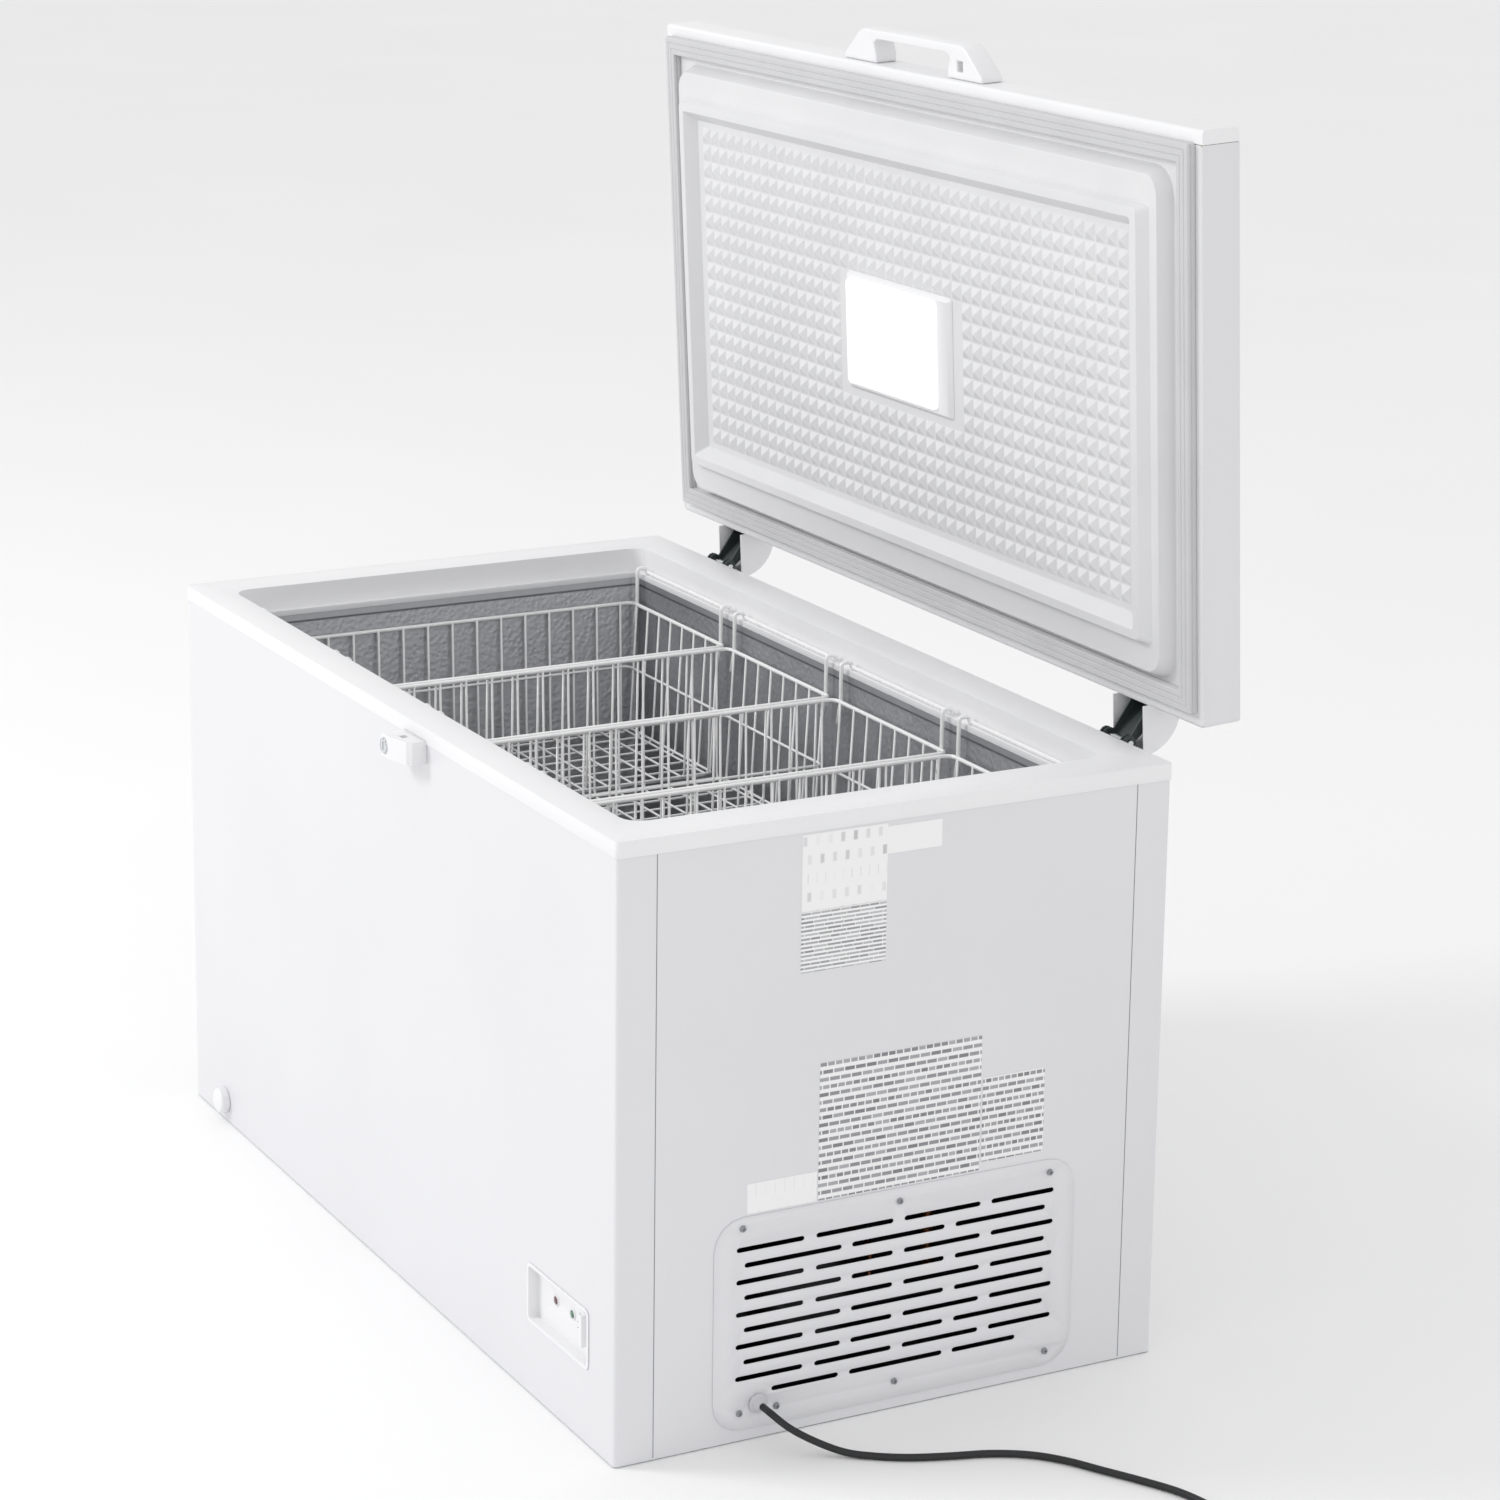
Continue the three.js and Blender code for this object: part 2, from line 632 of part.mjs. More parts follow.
function topCollar() {
  const edge = rect(-HALF_LENGTH, HALF_LENGTH, FRONT, REAR, BODY_CORNER_RADIUS + OVERHANG);
  const lipOuter = grown(rect(-TUB_X, TUB_X, -TUB_Y, TUB_Y, TUB_RADIUS), -GAP);
  const lipInner = grown(lipOuter, -LIP_THICKNESS);
  const below = LEDGE_Z - COLLAR_THICKNESS;
  const foot = grown(OPENING, -COLLAR_DRAFT);
  const wall = layered(
    [[grown(foot, COLLAR_THICKNESS), below], [foot, below]],
    [[grown(OPENING, COLLAR_THICKNESS), RIM_HEIGHT - 0.5], [OPENING, RIM_HEIGHT - 0.5]],
  );
  const lockHalf = LOCK_WIDTH / 2 + GAP;
  const notch = block(LOCK_X - lockHalf, LOCK_X + lockHalf, FRONT - 1, BODY_FRONT + GAP, 0, LOCK_TOP + GAP);
  const whole = joined([
    frameZ(edge, OPENING, RIM_HEIGHT - COLLAR_THICKNESS, RIM_HEIGHT),
    frameZ(edge, grown(edge, -SKIRT_THICKNESS), RIM_HEIGHT - SKIRT_HEIGHT, RIM_HEIGHT - 1),
    cut(wall, [layered([[foot, below - 1]], [[OPENING, RIM_HEIGHT]])]),
    frameZ(grown(foot, COLLAR_THICKNESS / 2), lipInner, below, LEDGE_Z),
    frameZ(lipOuter, lipInner, LEDGE_Z - LIP_HEIGHT, LEDGE_Z - 1),
  ]);
  return whole.subtract(notch);
}

const CONDENSER_SLOT_X = BAY_X + CONDENSER_SLOT_IN_BAY;

function bayCut() {
  return block(BAY_X, HALF_LENGTH, -BAY_HALF_DEPTH, BAY_HALF_DEPTH, 0, BAY_HEIGHT);
}

function foamInsulation() {
  const low = LEDGE_Z - COLLAR_THICKNESS - 2 * GAP;
  const rim = grown(OPENING, COLLAR_THICKNESS + 2 * GAP);
  const housing = grown(PANEL_AREA, -PANEL_RIM + 2 * GAP);
  const drain = DRAIN_TUBE_RADIUS + GAP;
  const slot = CONDENSER_SLOT_HALF;
  const poured = prismZ(outline(FOAM_OUTER), BASE_THICKNESS + GAP, low);
  return cut(poured.add(frameZ(FOAM_OUTER, rim, low - 1, PANEL_TOP)), [
    tubVolume(COIL_SPACE, RIM_HEIGHT),
    bayCut(),
    prismY(outline(housing), FRONT, BODY_FRONT + PANEL_BACK + GAP),
    prismZ(disc(DRAIN_X, DRAIN_HOLE_Y, drain), DRAIN_HEIGHT - drain, TUB_FLOOR),
    prismY(disc(DRAIN_X, DRAIN_HEIGHT, drain), FRONT, DRAIN_HOLE_Y + drain),
    prismX(disc(SUCTION_Y, THROUGH_Z, THROUGH_RADIUS, 8), STEP_X, BAY_X + 1),
    block(CONDENSER_SLOT_X - slot, CONDENSER_SLOT_X + slot, BAY_HALF_DEPTH - 1, REAR, CONDENSER_BOTTOM - slot,
      CONDENSER_BOTTOM + CONDENSER_SLOT_HEIGHT),
  ]);
}

// ---- drain

function drainTube() {
  const top = TUB_FLOOR - LINER_THICKNESS - GAP;
  const front = BODY_FRONT - DRAIN_TUBE_PROUD;
  const rise = (radius, z1) => prismZ(disc(DRAIN_X, DRAIN_HOLE_Y, radius), DRAIN_HEIGHT - radius, z1);
  const run = (radius, y0) => prismY(disc(DRAIN_X, DRAIN_HEIGHT, radius), y0, DRAIN_HOLE_Y + radius);
  const outer = rise(DRAIN_TUBE_RADIUS, top).add(run(DRAIN_TUBE_RADIUS, front));
  return cut(outer, [rise(DRAIN_BORE_RADIUS, TUB_FLOOR), run(DRAIN_BORE_RADIUS, FRONT - DRAIN_CAP_DEPTH)]);
}

function drainCap() {
  const back = BODY_FRONT - GAP;
  const r = DRAIN_CAP_RADIUS;
  const d = DRAIN_CAP_DEPTH;
  const profile = [[0, 0], [r, 0], [r, d - DRAIN_CAP_BEVEL], [r - DRAIN_CAP_BEVEL, d], [0, d]];
  const body = turned(profile, "-y", [DRAIN_X, back, DRAIN_HEIGHT]);
  const mouth = disc(DRAIN_X, DRAIN_HEIGHT, DRAIN_TUBE_RADIUS + GAP);
  const socket = prismY(mouth, back - DRAIN_CAP_SOCKET, back + 1);
  return body.subtract(socket);
}

function tubDrainPlug() {
  const at = [DRAIN_X, DRAIN_HOLE_Y, TUB_FLOOR + GAP];
  const r = TUB_PLUG_RADIUS;
  const stem = [[0, -TUB_PLUG_STEM], [DRAIN_BORE_RADIUS - 1, -TUB_PLUG_STEM], [DRAIN_BORE_RADIUS - GAP, 0]];
  const profile = [...stem, [r, 0], [r, 3], [r - 4, 5], [5, 5], [5, 9], [0, 9]];
  return turned(profile, "z", at);
}

// ---- controls on the front

function controlPanel() {
  const body = grown(PANEL_AREA, -PANEL_RIM);
  const hollow = grown(body, -PANEL_WALL);
  const face = PANEL_FACE_Y;
  const shell = joined([
    prismY(outline(PANEL_AREA), BODY_FRONT - PANEL_PROUD, BODY_FRONT - GAP),
    prismY(outline(body), BODY_FRONT - PANEL_PROUD / 2, BODY_FRONT + PANEL_BACK),
  ]);
  const lampHoles = [RED_LAMP_ACROSS, GREEN_LAMP_ACROSS].map((across) => {
    return prismY(disc(PANEL_LEFT + across, PANEL_BOTTOM + LAMP_UP, LAMP_RADIUS + GAP), face - 1, DEPTH);
  });
  return cut(shell, [
    prismY(outline(hollow), FRONT - DEPTH, face),
    prismY(outline(hollow), face + PANEL_WALL, DEPTH),
    prismY(disc(KNOB_X, KNOB_Z, KNOB_SHAFT_RADIUS + GAP), face - 1, DEPTH),
    ...lampHoles,
  ]);
}

function pilotLamp(across) {
  const at = [PANEL_LEFT + across, PANEL_FACE_Y + LAMP_LENGTH - LAMP_PROUD, PANEL_BOTTOM + LAMP_UP];
  const tip = LAMP_LENGTH;
  const r = LAMP_RADIUS;
  return turned([[0, 0], [r, 0], [r, tip - LAMP_BEVEL], [r - LAMP_BEVEL, tip], [0, tip]], "-y", at);
}

function thermostatKnob() {
  const face = PANEL_FACE_Y - GAP;
  const disk = prismY(disc(KNOB_X, KNOB_Z, KNOB_RADIUS, KNOB_SIDES), face - KNOB_DISK, face);
  const reach = KNOB_RADIUS - 1;
  const half = KNOB_BAR_HALF;
  const grip = rect(KNOB_X - half, KNOB_X + half, KNOB_Z - reach, KNOB_Z + reach, half / 2);
  const bar = prismY(outline(grip), face - PANEL_RECESS + 1, face - 1);
  const shaft = prismY(disc(KNOB_X, KNOB_Z, KNOB_SHAFT_RADIUS, 12), face - 1, face + KNOB_SHAFT_LENGTH);
  return joined([disk, bar, shaft]);
}

function thermostatBody() {
  const y0 = PANEL_FACE_Y + KNOB_SHAFT_LENGTH + 1 + GAP;
  return joined([
    block(KNOB_X - 15, KNOB_X + 15, y0, y0 + 13, KNOB_Z - 18, KNOB_Z + 18),
    block(KNOB_X - 10, KNOB_X + 10, y0 + 12, y0 + 18, KNOB_Z - 3, KNOB_Z + 3),
  ]);
}

const LOCK_FACE = BODY_FRONT - GAP - LOCK_DEPTH;
const LOCK_TOP = RIM_HEIGHT - LOCK_TOP_GAP;
const KEY_X = LOCK_X + KEY_OFFSET;
const KEY_Z = LOCK_TOP - LOCK_HEIGHT / 2;

function lockBody() {
  const left = LOCK_X - LOCK_WIDTH / 2;
  const right = LOCK_X + LOCK_WIDTH / 2;
  const back = BODY_FRONT - GAP;
  const plan = polygon([
    [left, back - 6], [left + 3, LOCK_FACE], [left + 24, LOCK_FACE], [right - 6, LOCK_FACE + 9],
    [right, LOCK_FACE + 15], [right, back], [left, back],
  ]);
  return cut(prismZ(plan, LOCK_TOP - LOCK_HEIGHT, LOCK_TOP), [
    prismY(disc(KEY_X, KEY_Z, KEY_RADIUS + GAP), LOCK_FACE - 1, LOCK_FACE + 22),
    block(LOCK_X - 6, LOCK_X + 6, BODY_FRONT - 22, BODY_FRONT - 12, LOCK_TOP - 12, LOCK_TOP + 1),
  ]);
}

function lockCylinder() {
  const barrel = prismY(disc(KEY_X, KEY_Z, KEY_RADIUS), LOCK_FACE - 2, LOCK_FACE + 20);
  const keyhole = block(KEY_X - 1.2, KEY_X + 1.2, LOCK_FACE - 3, LOCK_FACE + 8, KEY_Z - 5, KEY_Z + 5);
  return barrel.subtract(keyhole);
}

// ---- vent grille, its screws and the cord's strain relief

function slotHole(y0, y1, z) {
  const half = SLOT_HEIGHT / 2;
  const points = [];
  for (const [y, from] of [[y1 - half, -0.5], [y0 + half, 0.5]]) {
    for (let i = 0; i <= SLOT_END_STEPS; i++) {
      const angle = Math.PI * (from + i / SLOT_END_STEPS);
      points.push(new THREE.Vector2(y + half * Math.cos(angle), z + half * Math.sin(angle)));
    }
  }
  return new THREE.Path(points);
}

function ventGrille() {
  const plate = outline(GRILLE);
  for (let row = 0; row <= SLOT_ROWS; row++) {
    const wide = row % 2 === 0 ? SLOT_WIDE_ROW : SLOT_NARROW_ROW;
    const slots = row === SLOT_ROWS ? SLOT_LAST_ROW : wide;
    const z = GRILLE_BOTTOM + SLOT_TOP - row * SLOT_PITCH;
    for (const [from, to] of slots) {
      plate.holes.push(slotHole(GRILLE_FRONT + SLOT_LEFT + from, GRILLE_FRONT + SLOT_LEFT + to, z));
    }
  }
  return cut(prismX(plate, GRILLE_X, GRILLE_FACE), [
    ...screwHoles(BODY_X, HALF_LENGTH + 1),
    prismX(disc(OUTLET_Y, OUTLET_Z, OUTLET_RADIUS), BODY_X, HALF_LENGTH + 1),
  ]);
}

function ventScrew([y, z]) {
  const seat = GRILLE_FACE + GAP;
  const r = SCREW_HEAD_RADIUS;
  const h = SCREW_HEAD_HEIGHT;
  const shank = [[0, -SCREW_SHANK_LENGTH], [SCREW_SHANK_RADIUS, -SCREW_SHANK_LENGTH], [SCREW_SHANK_RADIUS, 0]];
  const head = turned([...shank, [r, 0], [r * 0.8, h], [0, h]], "x", [seat, y, z], 8);
  const slot = (a, b) => prismX(outline(rect(y - a, y + a, z - b, z + b)), seat + h / 2, seat + 2 * h);
  const thin = SCREW_CROSS_WIDTH / 2;
  return cut(head, [slot(SCREW_CROSS_HALF, thin), slot(thin, SCREW_CROSS_HALF)]);
}

function strainRelief() {
  const face = GRILLE_FACE + GAP;
  const r = RELIEF_RADIUS;
  const inside = [[0, -RELIEF_INSIDE], [r - 2, -RELIEF_INSIDE], [r, 4 - RELIEF_INSIDE], [r, 0]];
  const flange = [[RELIEF_FLANGE_RADIUS, 0], [RELIEF_FLANGE_RADIUS, 2], [r - 1, 3]];
  const tip = [[RELIEF_TIP_RADIUS, RELIEF_OUTSIDE], [0, RELIEF_OUTSIDE]];
  return turned([...inside, ...flange, ...tip], "x", [face, OUTLET_Y, OUTLET_Z]);
}

// ---- cooling circuit

function compressorMountPlate() {
  const low = BASE_THICKNESS + GAP;
  const height = MOUNT_HEIGHT - low;
  const [x, y] = [COMPRESSOR_X, COMPRESSOR_Y];
  const plate = block(x - 95, x + 95, y - 120, y + 120, low, low + 3);
  const feet = [];
  for (const sx of [-1, 1]) {
    for (const sy of [-1, 1]) {
      const at = [x + sx * 75, y + sy * 85, low];
      feet.push(turned([[0, 0], [13, 0], [9, 10], [12, height], [0, height]], "z", at, 8));
    }
  }
  return joined([plate, ...feet]);
}

function compressor() {
  const z = MOUNT_HEIGHT + GAP;
  const r = COMPRESSOR_RADIUS;
  const h = COMPRESSOR_HEIGHT;
  const [x, y] = [COMPRESSOR_X, COMPRESSOR_Y];
  const plate = block(x - 92, x + 92, y - 102, y + 102, z, z + 4);
  const low = [[0, 2], [r * 0.7, 2], [r * 0.92, 14], [r, 34]];
  const high = [[r, h * 0.62], [r * 0.93, h * 0.8], [r * 0.66, h * 0.95], [0, h]];
  return joined([plate, turned([...low, ...high], "z", [x, y, z], POT_SIDES)]);
}

const RELAY_Y = COMPRESSOR_Y - COMPRESSOR_RADIUS;

function compressorRelayCover() {
  const z = MOUNT_HEIGHT + GAP + 60;
  return block(COMPRESSOR_X - 32, COMPRESSOR_X + 32, RELAY_Y - 42, RELAY_Y + 20, z, z + 60).subtract(
    turned([[0, -80], [COMPRESSOR_RADIUS + GAP, -80], [COMPRESSOR_RADIUS + GAP, 80], [0, 80]], "z",
      [COMPRESSOR_X, COMPRESSOR_Y, z], POT_SIDES));
}

// Where the tubes meet the compressor's shell, going out along +Y.
const PORT_Y = COMPRESSOR_Y + COMPRESSOR_RADIUS + GAP;

function suctionTube() {
  const corners = [
    v3(COMPRESSOR_X - PORT_OFFSET, PORT_Y - 3, PORT_Z),
    v3(COMPRESSOR_X - PORT_OFFSET, SUCTION_Y, PORT_Z),
    v3(COMPRESSOR_X - PORT_OFFSET, SUCTION_Y, THROUGH_Z),
    v3(BAY_X + TUBE_JOINT, SUCTION_Y, THROUGH_Z),
  ];
  return pipe(filleted(corners, 18, 3), SUCTION_RADIUS, 8);
}

function filterDrier() {
  const r = DRIER_RADIUS;
  const h = DRIER_LENGTH;
  const at = [BAY_X + DRIER_IN_BAY, BAY_HALF_DEPTH - DRIER_FROM_REAR, DRIER_BOTTOM];
  return turned([[0, 0], [3, 0], [r, 12], [r, h - 12], [3, h], [0, h]], "z", at, 14);
}

// One tube wound round the tub: full loops above the step, shorter ones below it.
function evaporatorCoil() {
  const off = (COIL_SPACE + LINER_THICKNESS) / 2;
  const left = -TUB_X - off;
  const front = -TUB_Y - off;
  const rear = TUB_Y + off;
  const top = LEDGE_Z - EVAPORATOR_BELOW_LEDGE;
  const highPitch = (top - STEP_Z - EVAPORATOR_ABOVE_STEP) / (EVAPORATOR_HIGH_LOOPS - 1);
  const under = STEP_Z - EVAPORATOR_BELOW_STEP;
  const low = TUB_FLOOR + EVAPORATOR_ABOVE_FLOOR;
  const lowPitch = (under - low) / EVAPORATOR_LOW_LOOPS;
  const corners = [];
  const loop = (right, z) => {
    corners.push(v3(left, front, z), v3(right, front, z), v3(right, rear, z), v3(left, rear, z));
  };
  for (let i = 0; i < EVAPORATOR_HIGH_LOOPS; i++) loop(TUB_X + off, top - i * highPitch);
  for (let i = 0; i < EVAPORATOR_LOW_LOOPS; i++) loop(STEP_X + off, under - i * lowPitch);
  const right = STEP_X + off;
  corners.push(
    v3(left, front, low),
    v3(right, front, low),
    v3(right, SUCTION_Y, low),
    v3(right, SUCTION_Y, THROUGH_Z),
    v3(BAY_X + TUBE_JOINT - GAP, SUCTION_Y, THROUGH_Z),
  );
  corners[0].x += 3 * TUB_RADIUS;
  return pipe(filleted(corners, TUB_RADIUS + off, 3), COIL_TUBE_RADIUS, 5);
}

// One tube that runs to and fro behind the rear, left and front skins.
function condenserCoil() {
  const inset = SHEET + COIL_SPACE / 2;
  const left = -BODY_X + inset;
  const front = BODY_FRONT + inset;
  const rear = BODY_REAR - inset;
  const end = BAY_X - CONDENSER_BEFORE_BAY;
  const pitch = (RIM_HEIGHT - CONDENSER_BELOW_RIM - CONDENSER_BOTTOM) / (CONDENSER_RUNS - 1);
  const corners = [
    v3(COMPRESSOR_X + PORT_OFFSET, PORT_Y - 3, PORT_Z),
    v3(COMPRESSOR_X + PORT_OFFSET, BAY_HALF_DEPTH - 60, PORT_Z),
    v3(CONDENSER_SLOT_X, BAY_HALF_DEPTH - 40, CONDENSER_BOTTOM),
    v3(CONDENSER_SLOT_X, rear, CONDENSER_BOTTOM),
  ];
  for (let run = 0; run < CONDENSER_RUNS; run++) {
    const z = CONDENSER_BOTTOM + run * pitch;
    const there = [v3(end, rear, z), v3(left, rear, z), v3(left, front, z), v3(end, front, z)];
    corners.push(...(run % 2 === 0 ? there : there.reverse()));
  }
  return pipe(filleted(corners, 14, 2), COIL_TUBE_RADIUS, 6);
}

// ---- lid, closed; each function draws it where it lies on the rim

function lidOuterShell() {
  const front = FRONT + TRIM_DEPTH + GAP;
  const inside = LID_X - SHEET;
  const outer = outline(rect(-LID_X, LID_X, front, LID_REAR, LID_RADIUS));
  const square = block(-LID_X, LID_X, front, front + LID_RADIUS * 2, LID_Z, LID_TOP);
  const inner = outline(rect(-inside, inside, FRONT - DEPTH, LID_REAR - SHEET, LID_RADIUS - SHEET));
  return prismZ(outer, LID_Z, LID_TOP).add(square).subtract(prismZ(inner, LID_Z - 1, LID_TOP - SHEET));
}

const LID_INSIDE = rect(
  -LID_X + SHEET + GAP,
  LID_X - SHEET - GAP,
  FRONT + TRIM_DEPTH + 2 * GAP,
  LID_REAR - SHEET - GAP,
  LID_RADIUS - SHEET,
);

// The moulded inner face, from its edge to its middle: a plug, a step, a raised ridge and a recess.
function lidFace(raise) {
  const within = (r, end, front, rear, radius) => {
    return rect(r.x0 + end, r.x1 - end, r.y0 + front, r.y1 - rear, radius);
  };
  const drafted = grown(OPENING, -PLUG_DRAFT);
  const plug = within(drafted, PLUG_CLEARANCE_END, PLUG_CLEARANCE, PLUG_CLEARANCE_REAR, OPENING_RADIUS);
  const step = within(plug, STEP_STRIP_END, STEP_STRIP_SIDE, STEP_STRIP_SIDE, STEP_RADIUS);
  const ridge = within(step, RIDGE_SLOPE, RIDGE_SLOPE / 2, RIDGE_SLOPE / 2, STEP_RADIUS);
  const well = grown(ridge, -RIDGE_WIDTH, 5);
  const floor = grown(well, -RECESS_DRAFT, 3);
  return [
    [LID_INSIDE, LID_Z + raise],
    [grown(plug, 2 * PLUG_DRAFT), LID_Z + raise],
    [plug, LID_Z - PLUG_DEPTH + raise],
    [step, LID_Z - PLUG_DEPTH + raise],
    [ridge, LID_Z - RIDGE_DEPTH + raise],
    [well, LID_Z - RIDGE_DEPTH + raise],
    [floor, LID_Z - RECESS_DEPTH + raise],
  ];
}

function lidInnerLiner() {
  return layered(lidFace(0), lidFace(LID_LINER_THICKNESS));
}

function lidFoam() {
  const top = LID_TOP - SHEET - GAP;
  const main = layered(lidFace(LID_LINER_THICKNESS + GAP), [[LID_INSIDE, top]]);
  const inset = TRIM_WALL + GAP;
  const half = LID_X - inset;
  const tongue = block(-half, half, FRONT + inset, FRONT + TRIM_DEPTH + 2, LID_Z + inset, LID_TOP - inset);
  return main.add(tongue);
}

function lidFrontTrim() {
  const side = polygon([
    [FRONT, LID_Z + 3], [FRONT + 3, LID_Z], [FRONT + TRIM_DEPTH, LID_Z], [FRONT + TRIM_DEPTH, LID_TOP],
    [FRONT + 4, LID_TOP], [FRONT, LID_TOP - 4],
  ]);
  const w = TRIM_WALL;
  return prismX(side, -LID_X, LID_X).subtract(
    block(-LID_X + w, LID_X - w, FRONT + w, FRONT + TRIM_DEPTH + 1, LID_Z + w, LID_TOP - w));
}

function lidGasket() {
  const outer = rect(-LID_X + GASKET_END_MARGIN, LID_X - GASKET_END_MARGIN, FRONT + GASKET_SIDE_MARGIN,
    LID_REAR - GASKET_SIDE_MARGIN, 4);
  const z0 = RIM_HEIGHT + GAP;
  const z1 = LID_Z - GAP;
  const web = grown(outer, -5);
  return joined([
    frameZ(outer, grown(outer, -GASKET_WIDTH), z0 + 3, z1),
    frameZ(web, grown(outer, -GASKET_WIDTH + 5), z0, z0 + 3.5),
  ]);
}

function lidHandle() {
  const base = FRONT - GAP;
  const tip = base - HANDLE_REACH;
  const inner = tip + HANDLE_BAR;
  const w = HANDLE_HALF_WIDTH;
  const t = HANDLE_TOP_HALF_WIDTH;
  const g = HANDLE_GRIP_HALF_WIDTH;
  const outside = [[t - 4, tip], [t + 8, tip + 5], [w - 6, base - 12], [w, base - 6], [w, base]];
  const inside = [[g, base], [g, base - 12], [g + 6, inner + 6], [g - 4, inner]];
  const right = [...outside, ...inside];
  const left = right.map(([x, y]) => [-x, y]).reverse();
  const plan = polygon([...right, ...left].reverse());
  const z0 = LID_Z + HANDLE_RISE;
  const half = LOCK_HOLE / 2;
  const hole = block(LOCK_X - half, LOCK_X + half, base - 24, base - 10, z0 - 1, z0 + HANDLE_HEIGHT * 0.7);
  return prismZ(plan, z0, z0 + HANDLE_HEIGHT).subtract(hole);
}

const RECESS_Z = LID_Z - RECESS_DEPTH;

function lampBase() {
  const y1 = LID_REAR - LAMP_BASE_FROM_REAR;
  const area = rect(-LAMP_BASE_WIDTH / 2, LAMP_BASE_WIDTH / 2, y1 - LAMP_BASE_DEPTH, y1, 6);
  const top = RECESS_Z - GAP;
  const lens = lensArea(0);
  const bevel = layered([[grown(area, -LAMP_BASE_HEIGHT), top - LAMP_BASE_HEIGHT]], [[area, top]]);
  return bevel.subtract(prismZ(outline(grown(lens, GAP)), top - 2 * LAMP_BASE_HEIGHT, top - 3));
}

function lensArea(by) {
  const y1 = LID_REAR - LAMP_BASE_FROM_REAR - LENS_MARGIN;
  const x0 = -LAMP_BASE_WIDTH / 2 + LENS_FROM_LEFT;
  return grown(rect(x0, x0 + LENS_WIDTH, y1 - LAMP_BASE_DEPTH + 2 * LENS_MARGIN, y1, 8), by);
}

function lampLens() {
  const top = RECESS_Z - GAP - 3 - GAP;
  return layered(
    [[grown(lensArea(0), -1), top - LENS_HEIGHT * 0.6], [grown(lensArea(0), -14), top - LENS_HEIGHT]],
    [[lensArea(0), top]],
  );
}

// ---- hinges: x is the hinge's middle, the lid parts are drawn closed

function circleAt(radius, sides = EYE_STEPS) {
  return disc(PIVOT_Y, PIVOT_Z, radius, sides);
}

function hingeBracket(x) {
  const back = REAR + 2 * GAP;
  const top = RIM_HEIGHT - SKIRT_HEIGHT - 2;
  const seat = BODY_REAR + GAP;
  const half = SHROUD_HALF_WIDTH - 3;
  const plate = block(x - half, x + half, seat, seat + EAR_SHEET, BRACKET_BOTTOM, top);
  const under = [[seat, PIVOT_Z - 60], [PIVOT_Y + 4, PIVOT_Z - HINGE_EYE_RADIUS + 1], [PIVOT_Y + 6, PIVOT_Z]];
  const over = [[PIVOT_Y - 6, PIVOT_Z + 6], [back, top + 4], [back, top - 1], [seat, top - 1]];
  const side = polygon([...under, ...over]);
  const ears = [];
  for (const s of [-1, 1]) {
    const inner = x + s * EAR_INNER;
    const outer = inner + s * EAR_SHEET;
    const x0 = Math.min(inner, outer);
    ears.push(prismX(side, x0, x0 + EAR_SHEET).add(prismX(circleAt(HINGE_EYE_RADIUS), x0, x0 + EAR_SHEET)));
  }
  const bore = prismX(circleAt(HINGE_HOLE_RADIUS), x - SHROUD_HALF_WIDTH, x + SHROUD_HALF_WIDTH);
  return joined([plate, ...ears]).subtract(bore);
}

function hingePin(x) {
  return prismX(circleAt(HINGE_PIN_RADIUS, 12), x - PIN_HALF_LENGTH, x + PIN_HALF_LENGTH);
}

function hingeArm(x) {
  const face = LID_REAR + GAP;
  const up = LID_Z + 5;
  const top = LID_TOP - ARM_BELOW_LID_TOP;
  const r = HINGE_EYE_RADIUS;
  const diagonal = r * Math.SQRT1_2;
  const heel = [PIVOT_Y + diagonal, PIVOT_Z + diagonal];
  const toe = [PIVOT_Y - diagonal, PIVOT_Z + diagonal];
  const side = polygon([[face, up + 10], toe, heel, [face + 6, top], [face, top]]);
  const below = [[face, top - ARM_SHEET], [face + 4, top - ARM_SHEET], [heel[0] - ARM_SHEET * 1.3, heel[1]]];
  const web = polygon([...below, heel, [face + 6, top], [face, top]]);
  const cheeks = [];
  for (const s of [-1, 1]) {
    const x0 = x + s * ARM_HALF_WIDTH - (s > 0 ? ARM_SHEET : 0);
    cheeks.push(prismX(side, x0, x0 + ARM_SHEET).add(prismX(circleAt(r), x0, x0 + ARM_SHEET)));
  }
  const whole = joined([
    ...cheeks,
    prismX(web, x - ARM_HALF_WIDTH, x + ARM_HALF_WIDTH),
    block(x - 30, x + 30, face, face + ARM_SHEET, up, top),
  ]);
  return whole.subtract(prismX(circleAt(HINGE_HOLE_RADIUS), x - SHROUD_HALF_WIDTH, x + SHROUD_HALF_WIDTH));
}

// A quarter-round cover over the arm, open below and towards the lid.
function hingeShroud(x) {
  const face = LID_REAR + GAP;
  const cy = LID_REAR + SHROUD_BEHIND_LID;
  const cz = RIM_HEIGHT + 4.5;
  const quarter = (radius, y0, z0) => {
    const points = [[y0, z0], [cy + radius, z0]];
    for (let i = 0; i <= 10; i++) {
      const angle = (i / 10) * (Math.PI / 2);
      points.push([cy + radius * Math.cos(angle), cz + radius * Math.sin(angle)]);
    }
    points.push([y0, cz + radius]);
    return polygon(points);
  };
  const half = SHROUD_HALF_WIDTH;
  const inside = SHROUD_RADIUS - SHROUD_WALL;
  const hollow = prismX(quarter(inside, face - 10, cz - 10), x - half + SHROUD_WALL, x + half - SHROUD_WALL);
  return prismX(quarter(SHROUD_RADIUS, face, cz), x - half, x + half).subtract(hollow);
}

